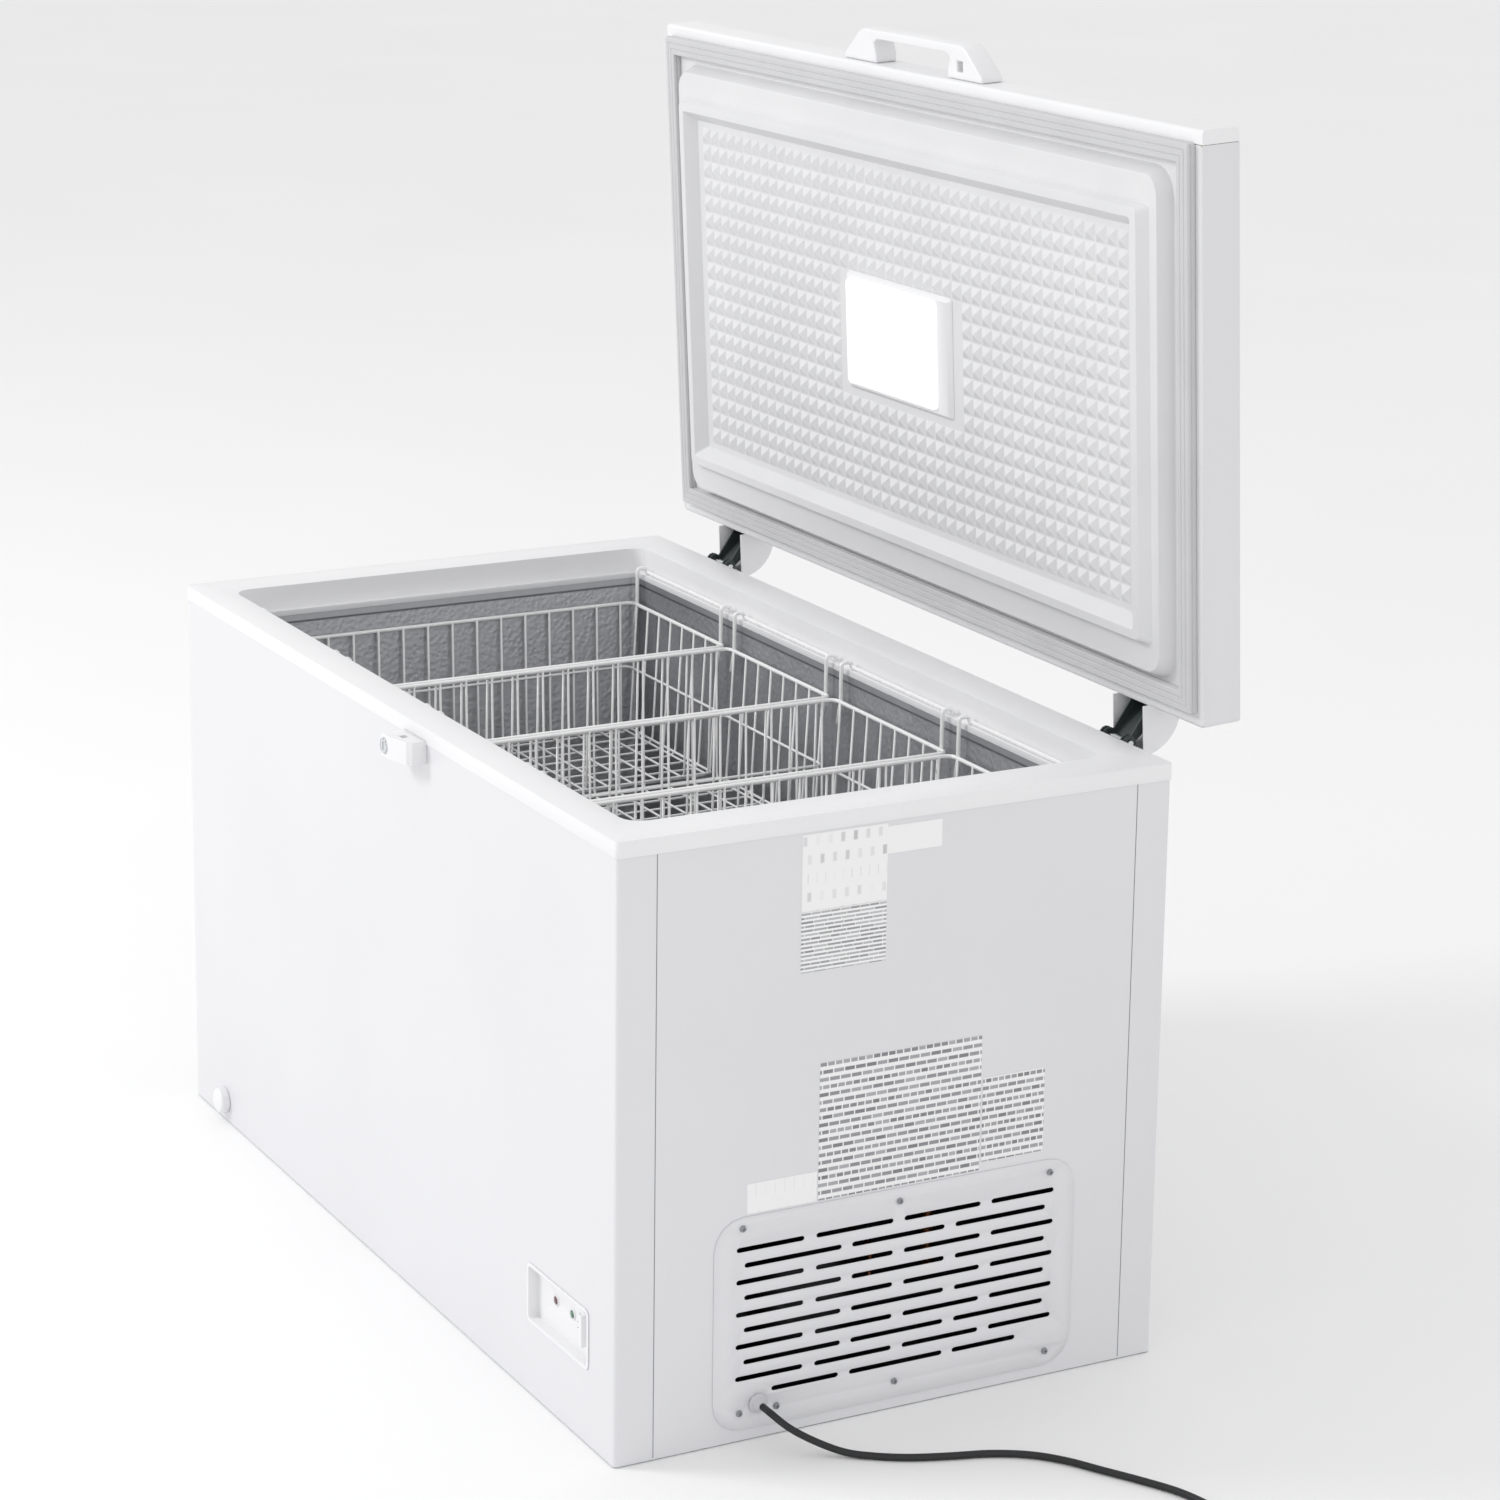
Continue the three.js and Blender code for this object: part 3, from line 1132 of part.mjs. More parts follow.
function hingeHousing(x) {
  const y0 = BODY_REAR + GAP;
  const y1 = REAR + HOUSING_DEPTH;
  const top = PIVOT_Z - HOUSING_TOP_BELOW_PIVOT;
  const half = SHROUD_HALF_WIDTH + 3;
  const foot = HOUSING_BOTTOM;
  const toe = y1 - 22;
  const heel = foot + 26;
  const side = polygon([[y0, foot], [toe, foot], [y1, heel], [y1, top], [y0, top]]);
  const w = HOUSING_WALL;
  const under = [[y0 - 5, BRACKET_BOTTOM - 20], [toe - w, BRACKET_BOTTOM - 20], [toe - w, foot + w]];
  const hollow = polygon([...under, [y1 - w, heel + w / 2], [y1 - w, top + 5], [y0 - 5, top + 5]]);
  return prismX(side, x - half, x + half).subtract(prismX(hollow, x - half + w, x + half - w));
}

// ---- baskets

const RAIL_Z = LEDGE_Z - BASKET_RAIL_BELOW_LEDGE;
const BASKET_PITCH = (2 * TUB_X) / BASKET_COUNT;

function basket(index) {
  const x0 = -TUB_X + index * BASKET_PITCH + BASKET_GAP / 2;
  const x1 = x0 + BASKET_PITCH - BASKET_GAP;
  const half = TUB_Y - BASKET_SIDE_GAP;
  const foot = half - BASKET_TAPER_Y;
  const top = rect(x0, x1, -half, half, BASKET_RADIUS);
  const bottom = rect(x0 + BASKET_TAPER_X, x1 - BASKET_TAPER_X, -foot, foot, BASKET_RADIUS);
  const low = RAIL_Z - BASKET_HEIGHT;
  const w = BASKET_WALL;
  const bin = layered([[bottom, low]], [[top, RAIL_Z]]).subtract(
    layered([[grown(bottom, -w), low + w]], [[grown(top, -w), RAIL_Z + 1]]));
  const hooks = [];
  for (const s of [-1, 1]) {
    const up = s * (half - BASKET_WALL / 2);
    const out = s * (TUB_Y + 5);
    const rest = LEDGE_Z + GAP + HOOK_RADIUS;
    const a = x0 + BASKET_RADIUS + 4;
    const b = x1 - BASKET_RADIUS - 4;
    const crown = LEDGE_Z + HOOK_CROWN;
    const left = [v3(a, up, RAIL_Z - 6), v3(a, up, crown), v3(a, out, crown - 1), v3(a + 1, out, rest)];
    const right = [v3(b - 1, out, rest), v3(b, out, crown - 1), v3(b, up, crown), v3(b, up, RAIL_Z - 6)];
    hooks.push(pipe(filleted([...left, ...right], 4, 1), HOOK_RADIUS, 6));
  }
  return joined([bin, ...hooks]);
}

// ---- cord, coil, plug and tie

const CORD_START = v3(GRILLE_FACE + 2 * GAP + RELIEF_OUTSIDE, OUTLET_Y, OUTLET_Z);
const COIL_ENTRY_Y = COIL_CENTRE[1] - COIL_MID_RADIUS - COIL_TURN_SPACING / 2;
const RELIEF_STRAIGHT = 22;
const FLOOR_CORD_Z = CORD_RADIUS + 0.2;

function powerCord() {
  const z = FLOOR_CORD_Z;
  const points = [
    CORD_START,
    v3(CORD_START.x + RELIEF_STRAIGHT / 2, OUTLET_Y, OUTLET_Z),
    v3(CORD_START.x + RELIEF_STRAIGHT, OUTLET_Y, OUTLET_Z),
    v3(CORD_START.x + 42, OUTLET_Y + 13, OUTLET_Z - 12),
    v3(772, -150, 20),
    v3(792, -118, 7),
    v3(812, -90, z),
    v3(834, -54, z),
    v3(852, -8, z),
    v3(868, 40, z),
    v3(893, 82, z),
    v3(926, 112, z),
    v3(964, 135, z),
    v3(1008, 162, z),
    v3(1054, 186, z),
    v3(1100, 198, z),
    v3(1150, COIL_ENTRY_Y, z),
    v3(1180, COIL_ENTRY_Y, z),
    v3(COIL_CENTRE[0] - COIL_MEETS_CORD, COIL_ENTRY_Y, z),
  ];
  const curve = new THREE.CatmullRomCurve3(points);
  return pipe(curve.getSpacedPoints(CORD_STEPS), CORD_RADIUS, 8);
}

const RING_LOW = GAP;
const RING_HALF = COIL_TURN_SPACING;

function cordCoil() {
  const inner = COIL_MID_RADIUS - RING_HALF;
  const outer = COIL_MID_RADIUS + RING_HALF;
  const top = RING_LOW + 2 * RING_HALF;
  const low = [[inner, RING_LOW + 2], [inner + 2, RING_LOW], [outer - 2, RING_LOW], [outer, RING_LOW + 2]];
  const high = [[outer, top - 2], [outer - 2, top], [inner + 2, top], [inner, top - 2], [inner, RING_LOW + 2]];
  return turned([...low, ...high], "z", [COIL_CENTRE[0], COIL_CENTRE[1], 0], RING_SIDES);
}

function powerPlug() {
  const x = COIL_CENTRE[0] + COIL_MID_RADIUS + COIL_TURN_SPACING / 2;
  const y = COIL_CENTRE[1] + PLUG_START;
  const [wide, long, high] = PLUG_BODY;
  const y0 = y + PLUG_BOOT;
  const y1 = y0 + long;
  const mid = high / 2 + GAP;
  const boot = turned([[0, 0], [5.5, 0], [8.5, PLUG_BOOT + 1], [0, PLUG_BOOT + 1]], "-y", [0, 0, 0], 12);
  const body = prismZ(outline(rect(x - wide / 2, x + wide / 2, y0, y1, 5)), GAP, high + GAP);
  const blade = (dx, z0, z1) => block(x + dx - 0.8, x + dx + 0.8, y1 - 1, y1 + BLADE_LENGTH, z0, z1);
  const ground = prismY(disc(x, mid - 7, 2.4, 10), y1 - 1, y1 + BLADE_LENGTH + 3);
  return joined([
    solid(geometryOf(boot).rotateZ(Math.PI).translate(x, y, mid - 4)),
    body,
    blade(-6.4, mid - 1, mid + 5.5),
    blade(6.4, mid - 1, mid + 5.5),
    ground,
  ]);
}

function cordTie() {
  const inner = COIL_MID_RADIUS - RING_HALF;
  const outer = COIL_MID_RADIUS + RING_HALF;
  const top = RING_LOW + 2 * RING_HALF;
  const [cx, cy] = COIL_CENTRE;
  const wall = 1.2;
  const clear = 0.8;
  const half = 6;
  const inside = rect(cx - outer - clear, cx - inner + clear, cy - half - 1, cy + half + 1);
  const strap = block(inside.x0 - wall, inside.x1 + wall, cy - half, cy + half, GAP, top + clear + wall);
  return strap.subtract(prismZ(outline(inside), -1, top + clear));
}

// ---- the whole

function cabinetGroup() {
  const group = new THREE.Group();
  group.add(
    mesh("front_panel", frontPanel(), WHITE),
    mesh("rear_panel", rearPanel(), WHITE),
    mesh("left_end_panel", leftEndPanel(), WHITE),
    mesh("right_end_panel", rightEndPanel(), WHITE),
    mesh("base_pan", basePan(), CHROME),
    mesh("foam_insulation", foamInsulation(), FOAM),
    mesh("inner_liner", innerLiner(), ALUMINIUM),
    mesh("top_collar", topCollar(), PLASTIC),
    mesh("drain_tube", drainTube(), GREY_PLASTIC),
    mesh("drain_cap", drainCap(), PLASTIC),
    mesh("tub_drain_plug", tubDrainPlug(), RUBBER),
  );
  return group;
}

function frontFittings() {
  const group = new THREE.Group();
  group.add(
    mesh("control_panel", controlPanel(), PLASTIC),
    mesh("pilot_lamp_red", pilotLamp(RED_LAMP_ACROSS), { color: 0x5b2f3b, roughness: 0.3 }),
    mesh("pilot_lamp_green", pilotLamp(GREEN_LAMP_ACROSS), { color: 0x4f7a66, roughness: 0.3 }),
    mesh("thermostat_knob", thermostatKnob(), PLASTIC),
    mesh("thermostat_body", thermostatBody(), GREY_PLASTIC),
    mesh("lock_body", lockBody(), PLASTIC),
    mesh("lock_cylinder", lockCylinder(), CHROME),
  );
  return group;
}

function ventGroup() {
  const group = new THREE.Group();
  group.add(mesh("vent_grille", ventGrille(), WHITE), mesh("cord_strain_relief", strainRelief(), GREY_PLASTIC));
  screwPlaces().forEach((place, i) => group.add(mesh(`vent_screw_${i + 1}`, ventScrew(place), CHROME)));
  return group;
}

function coolingGroup() {
  const group = new THREE.Group();
  group.add(
    mesh("compressor_mount_plate", compressorMountPlate(), DARK_STEEL),
    mesh("compressor", compressor(), BLACK),
    mesh("compressor_relay_cover", compressorRelayCover(), BLACK),
    mesh("suction_tube", suctionTube(), COPPER),
    mesh("filter_drier", filterDrier(), COPPER),
    mesh("evaporator_coil", evaporatorCoil(), ALUMINIUM),
    mesh("condenser_coil", condenserCoil(), DARK_STEEL),
  );
  return group;
}

function hingeFixedGroup() {
  const group = new THREE.Group();
  for (const [side, x] of [["left", -HINGE_X], ["right", HINGE_X]]) {
    group.add(
      mesh(`hinge_bracket_${side}`, hingeBracket(x), DARK_STEEL),
      mesh(`hinge_pin_${side}`, hingePin(x), CHROME),
      mesh(`hinge_housing_${side}`, hingeHousing(x), PLASTIC),
    );
  }
  return group;
}

// The lid turns about its hinge pins and stands open.
function lidGroup() {
  const closed = new THREE.Group();
  closed.position.set(0, -PIVOT_Y, -PIVOT_Z);
  closed.add(
    mesh("lid_outer_shell", lidOuterShell(), WHITE),
    mesh("lid_foam", lidFoam(), FOAM),
    mesh("lid_inner_liner", lidInnerLiner(), PLASTIC),
    mesh("lid_front_trim", lidFrontTrim(), PLASTIC),
    mesh("lid_gasket", lidGasket(), RUBBER),
    mesh("lid_handle", lidHandle(), PLASTIC),
    mesh("lamp_base", lampBase(), PLASTIC),
    mesh("lamp_lens", lampLens(), { color: 0xffffff, roughness: 0.2 }),
  );
  for (const [side, x] of [["left", -HINGE_X], ["right", HINGE_X]]) {
    closed.add(
      mesh(`hinge_arm_${side}`, hingeArm(x), DARK_STEEL),
      mesh(`hinge_shroud_${side}`, hingeShroud(x), PLASTIC),
    );
  }
  const turnedLid = new THREE.Group();
  turnedLid.position.set(0, PIVOT_Y, PIVOT_Z);
  turnedLid.rotation.x = -LID_OPEN;
  turnedLid.add(closed);
  return turnedLid;
}

function basketGroup() {
  const group = new THREE.Group();
  for (let i = 0; i < BASKET_COUNT; i++) group.add(mesh(`basket_${i + 1}`, basket(i), PLASTIC));
  return group;
}

function cordGroup() {
  const group = new THREE.Group();
  group.add(
    mesh("power_cord", powerCord(), BLACK),
    mesh("cord_coil", cordCoil(), BLACK),
    mesh("power_plug", powerPlug(), BLACK),
    mesh("cord_tie", cordTie(), BLACK),
  );
  return group;
}

const freezer = new THREE.Group();
freezer.add(cabinetGroup(), frontFittings(), ventGroup(), coolingGroup());
freezer.add(hingeFixedGroup(), lidGroup(), basketGroup(), cordGroup());

export default freezer;
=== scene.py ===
"""A chest freezer with its lid open: baskets, aluminium tub, moulded collar, lid, hinges, vent and cord."""
import math

import bmesh
import bpy
import numpy as np
from mathutils import Matrix, Vector


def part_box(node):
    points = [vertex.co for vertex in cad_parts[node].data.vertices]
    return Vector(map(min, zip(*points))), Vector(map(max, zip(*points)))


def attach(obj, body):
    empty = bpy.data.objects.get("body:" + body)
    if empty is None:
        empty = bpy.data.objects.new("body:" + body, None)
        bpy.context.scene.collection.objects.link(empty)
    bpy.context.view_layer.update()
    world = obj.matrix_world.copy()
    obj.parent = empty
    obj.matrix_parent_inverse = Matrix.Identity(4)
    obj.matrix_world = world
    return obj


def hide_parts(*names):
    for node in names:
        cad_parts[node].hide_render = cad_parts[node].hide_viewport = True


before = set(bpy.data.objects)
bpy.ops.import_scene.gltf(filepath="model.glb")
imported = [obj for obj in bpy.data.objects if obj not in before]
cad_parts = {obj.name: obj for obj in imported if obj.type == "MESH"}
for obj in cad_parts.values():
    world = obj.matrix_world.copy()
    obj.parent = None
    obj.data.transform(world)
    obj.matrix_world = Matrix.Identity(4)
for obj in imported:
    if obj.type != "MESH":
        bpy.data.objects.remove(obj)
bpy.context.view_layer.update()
MM = 0.001

# Where the lid's parts lie when shut, and the turn about the hinge pins that opens it.
PIVOT_Y, PIVOT_Z = 0.4069, 0.7687
LID_OPEN = math.radians(87.1)

# In metres: where the painted shade inside the compressor bay starts and ends, the tub's fold under the lip,
# the floor of the control panel's recess, the backs of the labels and the front edge of the end panels.
BAY_SHADE_X, BAY_SHADE_Z, BAY_SHADE_EDGE = 0.434, 0.2985, 0.001
FOLD_Z = 0.7275
RECESS_Y = -0.369
LABEL_X, LABEL_THICKNESS = 0.69862, 0.0002
FRONT_Y = -0.3825


def opened(points):
    """Points of the shut lid, turned back about the pins: y and z rotate by the opening angle."""
    p = np.array(points, float)
    y, z = p[:, 1] - PIVOT_Y, p[:, 2] - PIVOT_Z
    c, s = math.cos(LID_OPEN), math.sin(LID_OPEN)
    p[:, 1] = PIVOT_Y + y * c + z * s
    p[:, 2] = PIVOT_Z - y * s + z * c
    return p


# ---- camera

def aim_camera():
    """A long lens that looks at the front and right end from a little above, with its frame shifted."""
    turn, tilt, roll = math.radians(62.9), math.radians(13.48), math.radians(0.44)
    ahead = Vector((-math.sin(turn) * math.cos(tilt), math.cos(turn) * math.cos(tilt), -math.sin(tilt)))
    right = ahead.cross(Vector((0, 0, 1))).normalized()
    up = right.cross(ahead)
    right, up = (math.cos(roll) * right + math.sin(roll) * up, math.cos(roll) * up - math.sin(roll) * right)
    lens = bpy.data.cameras.new("camera")
    lens.lens, lens.sensor_width = 97.02, 36
    lens.shift_x, lens.shift_y = 0.06, -0.1106
    lens.clip_end = 100
    camera = bpy.data.objects.new("camera", lens)
    bpy.context.scene.collection.objects.link(camera)
    basis = Matrix((right, up, -ahead)).transposed().to_4x4()
    camera.matrix_world = Matrix.Translation((4.66943, -2.3604, 2.14827)) @ basis
    bpy.context.scene.camera = camera


aim_camera()


# ---- materials

def linear(hex_colour):
    """An sRGB hex colour as linear red, green, blue and alpha."""
    s = np.array([int(hex_colour[i:i + 2], 16) / 255 for i in (0, 2, 4)])
    low, high = s / 12.92, ((s + 0.055) / 1.055) ** 2.4
    return (*np.where(s <= 0.04045, low, high), 1.0)


def add(tree, kind, inputs=None, **settings):
    """One shader node: its settings, then its inputs, each a value or another node's output."""
    node = tree.nodes.new("ShaderNode" + kind)
    for name, value in settings.items():
        setattr(node, name, value)
    for key, value in (inputs or {}).items():
        if isinstance(value, bpy.types.NodeSocket):
            tree.links.new(value, node.inputs[key])
        else:
            node.inputs[key].default_value = value
    return node


def surface(name, **sockets):
    """A material with one Principled shader, returned with its tree, its shader and object coordinates."""
    made = bpy.data.materials.new(name)
    made.use_nodes = True
    tree = made.node_tree
    tree.nodes.clear()
    shader = add(tree, "BsdfPrincipled", {k.replace("_", " "): v for k, v in sockets.items()})
    add(tree, "OutputMaterial", {"Surface": shader.outputs[0]})
    return made, tree, shader, add(tree, "TexCoord").outputs["Object"]


def blended(tree, amount, low, high):
    """A colour that goes from low to high as amount goes from 0 to 1."""
    return add(tree, "Mix", {0: amount, 6: linear(low), 7: linear(high)}, data_type="RGBA").outputs[2]


def spread(tree, value, start, end, low, high):
    """A value mapped from start..end onto low..high and held there."""
    return add(tree, "MapRange", {0: value, 1: start, 2: end, 3: low, 4: high}).outputs[0]


def noise(tree, where, size_mm, detail=2.0):
    """Soft noise whose lumps are about size_mm across."""
    return add(tree, "TexNoise", {"Vector": where, "Scale": 1000 / size_mm, "Detail": detail}).outputs[0]


def times(tree, a, b):
    """Two values multiplied."""
    return add(tree, "Math", {0: a, 1: b}, operation="MULTIPLY").outputs[0]


def raised(tree, shader, height, depth_mm, strength=1.0):
    """Bumps the shader's normal by a height that spans depth_mm."""
    bump = add(tree, "Bump", {"Height": height, "Distance": depth_mm * MM, "Strength": strength})
    tree.links.new(bump.outputs[0], shader.inputs["Normal"])


def mottled(name, low, high, mottle_mm, grain_mm, grain_depth_mm, rough, **sockets):
    """A coated or moulded surface: two near colours in soft clouds, a fine grain, roughness that drifts."""
    made, tree, shader, where = surface(name, **sockets)
    cloud = noise(tree, where, mottle_mm, 3.0)
    tree.links.new(blended(tree, cloud, low, high), shader.inputs["Base Color"])
    tree.links.new(spread(tree, cloud, 0.3, 0.7, rough * 0.88, rough * 1.12), shader.inputs["Roughness"])
    raised(tree, shader, noise(tree, where, grain_mm), grain_depth_mm)
    return made


# Baked enamel on sheet steel: a smooth satin white with the faint orange peel of sprayed paint, 4 mm across.
ENAMEL = mottled("baked_enamel_on_steel", "dcdcdf", "e5e5e8", 380, 4, 0.02, 0.36, IOR=1.5, Coat_Weight=0.15)
# Injection-moulded ABS: brighter than the sheet, a fine spark-eroded grain that softens its highlights.
ABS = mottled("moulded_abs", "e9e9eb", "f0f0f1", 160, 0.9, 0.012, 0.4, IOR=1.53)
# Vacuum-formed polystyrene: a softer, slightly greyer white with the long waves of a drawn sheet.
POLYSTYRENE = mottled("vacuum_formed_polystyrene", "dadadc", "e4e4e5", 120, 18, 0.05, 0.38, IOR=1.59)
# Grey ABS, for fittings that carry the cord and the thermostat.
GREY_ABS = mottled("moulded_grey_abs", "c4c4c7", "cfcfd2", 60, 0.9, 0.02, 0.5, IOR=1.53)
# Extruded soft PVC of the lid's seal: matt grey.
SEAL_PVC = mottled("extruded_soft_pvc", "c4c4c6", "d0d0d2", 90, 2, 0.02, 0.62, IOR=1.53)
# Flexible PVC cord sheath: near black, with a fine grain.
CORD_PVC = mottled("black_pvc_sheath", "111214", "1b1c1f", 30, 1.2, 0.03, 0.48, IOR=1.53)
# Polyethylene-coated steel wire: thick glossy white, softly uneven.
COATED_WIRE = mottled("polyethylene_coated_wire", "f2f2f2", "fafafa", 50, 6, 0.06, 0.28,
                      IOR=1.51, Coat_Weight=0.3)
# Black powder coat on pressed plates and tube: a tight grain, slightly green-grey.
POWDER_COAT = mottled("black_powder_coat", "2b3232", "384141", 40, 0.8, 0.03, 0.5, IOR=1.5)
# Stoved black paint on the compressor's steel pot.
STOVED_BLACK = mottled("stoved_black_paint", "121315", "1c1d20", 70, 2.5, 0.03, 0.38,
                       IOR=1.5, Coat_Weight=0.2)
# Copper tube, drawn bright and dulled by handling.
COPPER = mottled("drawn_copper_tube", "b06a42", "c98459", 30, 3, 0.02, 0.36, Metallic=1.0)
# Drawn aluminium tube of the evaporator.
ALUMINIUM_TUBE = mottled("drawn_aluminium_tube", "a9abad", "bfc1c3", 30, 3, 0.02, 0.4, Metallic=1.0)
# Nickel-plated brass of the plug's blades.
NICKEL = mottled("nickel_plated_brass", "b9b5a8", "cfccc0", 8, 1, 0.01, 0.28, Metallic=1.0)
# Bright chromium plate on the pins and the key cylinder.
CHROMIUM = mottled("chromium_plate", "c6c9cc", "d9dbdd", 15, 2, 0.005, 0.16, Metallic=1.0)
# Zinc-plated screws: a dull blue-grey bloom.
ZINC = mottled("zinc_plated_steel", "8e9194", "b0b3b5", 3, 0.8, 0.03, 0.4, Metallic=1.0)


def galvanised_steel():
    """Hot-dip galvanised sheet: each zinc crystal, about 14 mm across, catches the light at its own angle."""
    made, tree, shader, where = surface("hot_dip_galvanised_sheet", Metallic=1.0)
    spangle = add(tree, "TexVoronoi", {"Vector": where, "Scale": 1000 / 14})
    tone = add(tree, "SeparateColor", {0: spangle.outputs["Color"]}).outputs[0]
    tree.links.new(blended(tree, tone, "8f9499", "b4b8bc"), shader.inputs["Base Color"])
    tree.links.new(spread(tree, tone, 0, 1, 0.32, 0.52), shader.inputs["Roughness"])
    return made


def poured_foam():
    """Rigid polyurethane foam, straw-coloured cells 1.5 mm across, with painted shade in dark grey where it faces
    the compressor bay.
    """
    made, tree, shader, where = surface("rigid_polyurethane_foam", IOR=1.45, Roughness=0.9)
    straw = blended(tree, noise(tree, where, 40, 3.0), "d8c690", "e6d7a8")
    axes = add(tree, "SeparateXYZ", {0: where})
    # Painted shade: the foam inside the compressor bay turns dark grey, so the bay reads dark through the vent's
    # slots.
    along = spread(tree, axes.outputs[0], BAY_SHADE_X, BAY_SHADE_X + BAY_SHADE_EDGE, 0, 1)
    below = spread(tree, axes.outputs[2], BAY_SHADE_Z, BAY_SHADE_Z + BAY_SHADE_EDGE, 1, 0)
    bay_shade_mask = times(tree, along, below)
    foam_with_bay_shade = add(tree, "Mix", {0: bay_shade_mask, 6: straw, 7: linear("26272a")}, data_type="RGBA").outputs[2]
    tree.links.new(foam_with_bay_shade, shader.inputs["Base Color"])
    raised(tree, shader, noise(tree, where, 1.5), 0.4)
    return made


def stucco_aluminium():
    """Stucco-embossed aluminium: pebbles 7 mm across pressed into the sheet, plain above the fold, with a painted
    shade line along the fold.
    """
    made, tree, shader, where = surface("stucco_embossed_aluminium", Metallic=0.9)
    pebble = add(tree, "TexVoronoi", {"Vector": where, "Scale": 1000 / 7, "Smoothness": 0.6},
                 feature="SMOOTH_F1")
    height = add(tree, "SeparateXYZ", {0: where}).outputs[2]
    embossed = spread(tree, height, FOLD_Z - MM, FOLD_Z + MM, 1, 0)
    # Painted shade: a dark grey band about the fold, standing for the shade in the crease.
    fold_shade_mask = times(tree, spread(tree, height, FOLD_Z - 2 * MM, FOLD_Z, 0, 1),
                 spread(tree, height, FOLD_Z + MM, FOLD_Z + 3 * MM, 1, 0))
    cloud = noise(tree, where, 120, 3.0)
    sheet = blended(tree, cloud, "a2a3a6", "b6b7ba")
    sheet_with_fold_shade = add(tree, "Mix", {0: fold_shade_mask, 6: sheet, 7: linear("5b5c60")}, data_type="RGBA").outputs[2]
    tree.links.new(sheet_with_fold_shade, shader.inputs["Base Color"])
    tree.links.new(spread(tree, cloud, 0.3, 0.7, 0.36, 0.48), shader.inputs["Roughness"])
    raised(tree, shader, times(tree, pebble.outputs["Distance"], embossed), 0.9, 0.8)
    return made


def opal_acrylic_painted_glow():
    """Opal acrylic of the lamp's cover: milky white, glossy, with a diffuser's fine prisms and a faint painted
    glow though the lamp is off.
    """
    # Painted glow: a faint white emission makes the unlit cover read bright white.
    made, tree, shader, where = surface("opal_acrylic_painted_glow", IOR=1.49, Emission_Strength=0.35)
    shader.inputs["Emission Color"].default_value = linear("ffffff")
    prisms = add(tree, "TexWave", {"Vector": where, "Scale": 1000 / 4 / 6.28, "Distortion": 0.0},
                 bands_direction="X")
    tree.links.new(blended(tree, noise(tree, where, 60), "fafafa", "ffffff"), shader.inputs["Base Color"])
    tree.links.new(spread(tree, prisms.outputs[1], 0, 1, 0.18, 0.26), shader.inputs["Roughness"])
    raised(tree, shader, prisms.outputs[1], 0.05)
    return made


def pilot_lens(name, low, high):
    """A tinted acrylic lens over an unlit lamp: two near tints in clouds 3 mm across, glossy."""
    made, tree, shader, where = surface(name, IOR=1.49, Coat_Weight=0.4)
    tree.links.new(blended(tree, noise(tree, where, 3), low, high), shader.inputs["Base Color"])
    tree.links.new(spread(tree, noise(tree, where, 6), 0.3, 0.7, 0.16, 0.28), shader.inputs["Roughness"])
    return made


def ruled_label(name, line_mm, word_mm, ink_low="8e8e92", ink_high="c2c2c5", narrow=3.0):
    """A glossy paper label: rows of plain bars in place of print, closer within a row than the rows are."""
    made, tree, shader, where = surface(name, IOR=1.5, Coat_Weight=0.2)
    axes = add(tree, "SeparateXYZ", {0: where})
    across = times(tree, axes.outputs[1], narrow)
    flat = add(tree, "CombineXYZ", {0: across, 1: axes.outputs[2]}).outputs[0]
    rows = add(tree, "TexBrick", {"Vector": flat, "Color1": linear(ink_low), "Color2": linear(ink_high),
                                  "Mortar": linear("f4f4f4"), "Scale": 1.0, "Mortar Size": line_mm * 0.3 * MM,
                                  "Mortar Smooth": 0.3, "Brick Width": word_mm * narrow * MM,
                                  "Row Height": line_mm * MM})
    rows.offset, rows.squash, rows.squash_frequency = 0.37, 0.7, 3
    tree.links.new(rows.outputs[0], shader.inputs["Base Color"])
    tree.links.new(spread(tree, noise(tree, where, 20), 0.3, 0.7, 0.3, 0.4), shader.inputs["Roughness"])
    return made


GALVANISED = galvanised_steel()
FOAM = poured_foam()
STUCCO = stucco_aluminium()
OPAL = opal_acrylic_painted_glow()


# ---- making pieces

def piece(name, vertices, faces, look, body, smooth=True):
    """A mesh piece from whole arrays of points and faces, riding on a body."""
    mesh = bpy.data.meshes.new(name)
    mesh.from_pydata(np.asarray(vertices).tolist(), [], [list(f) for f in faces])
    mesh.validate()
    mesh.polygons.foreach_set("use_smooth", np.full(len(mesh.polygons), smooth))
    mesh.materials.append(look)
    made = bpy.data.objects.new(name, mesh)
    bpy.context.scene.collection.objects.link(made)
    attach(made, body)
    return made


def rounded(made, width_mm, segments=2, angle=30):
    """Rounds every edge sharper than an angle."""
    bevel = made.modifiers.new("rounded_edges", "BEVEL")
    bevel.width, bevel.segments = width_mm * MM, segments
    bevel.limit_method, bevel.angle_limit = "ANGLE", math.radians(angle)
    bevel.harden_normals = True
    return made


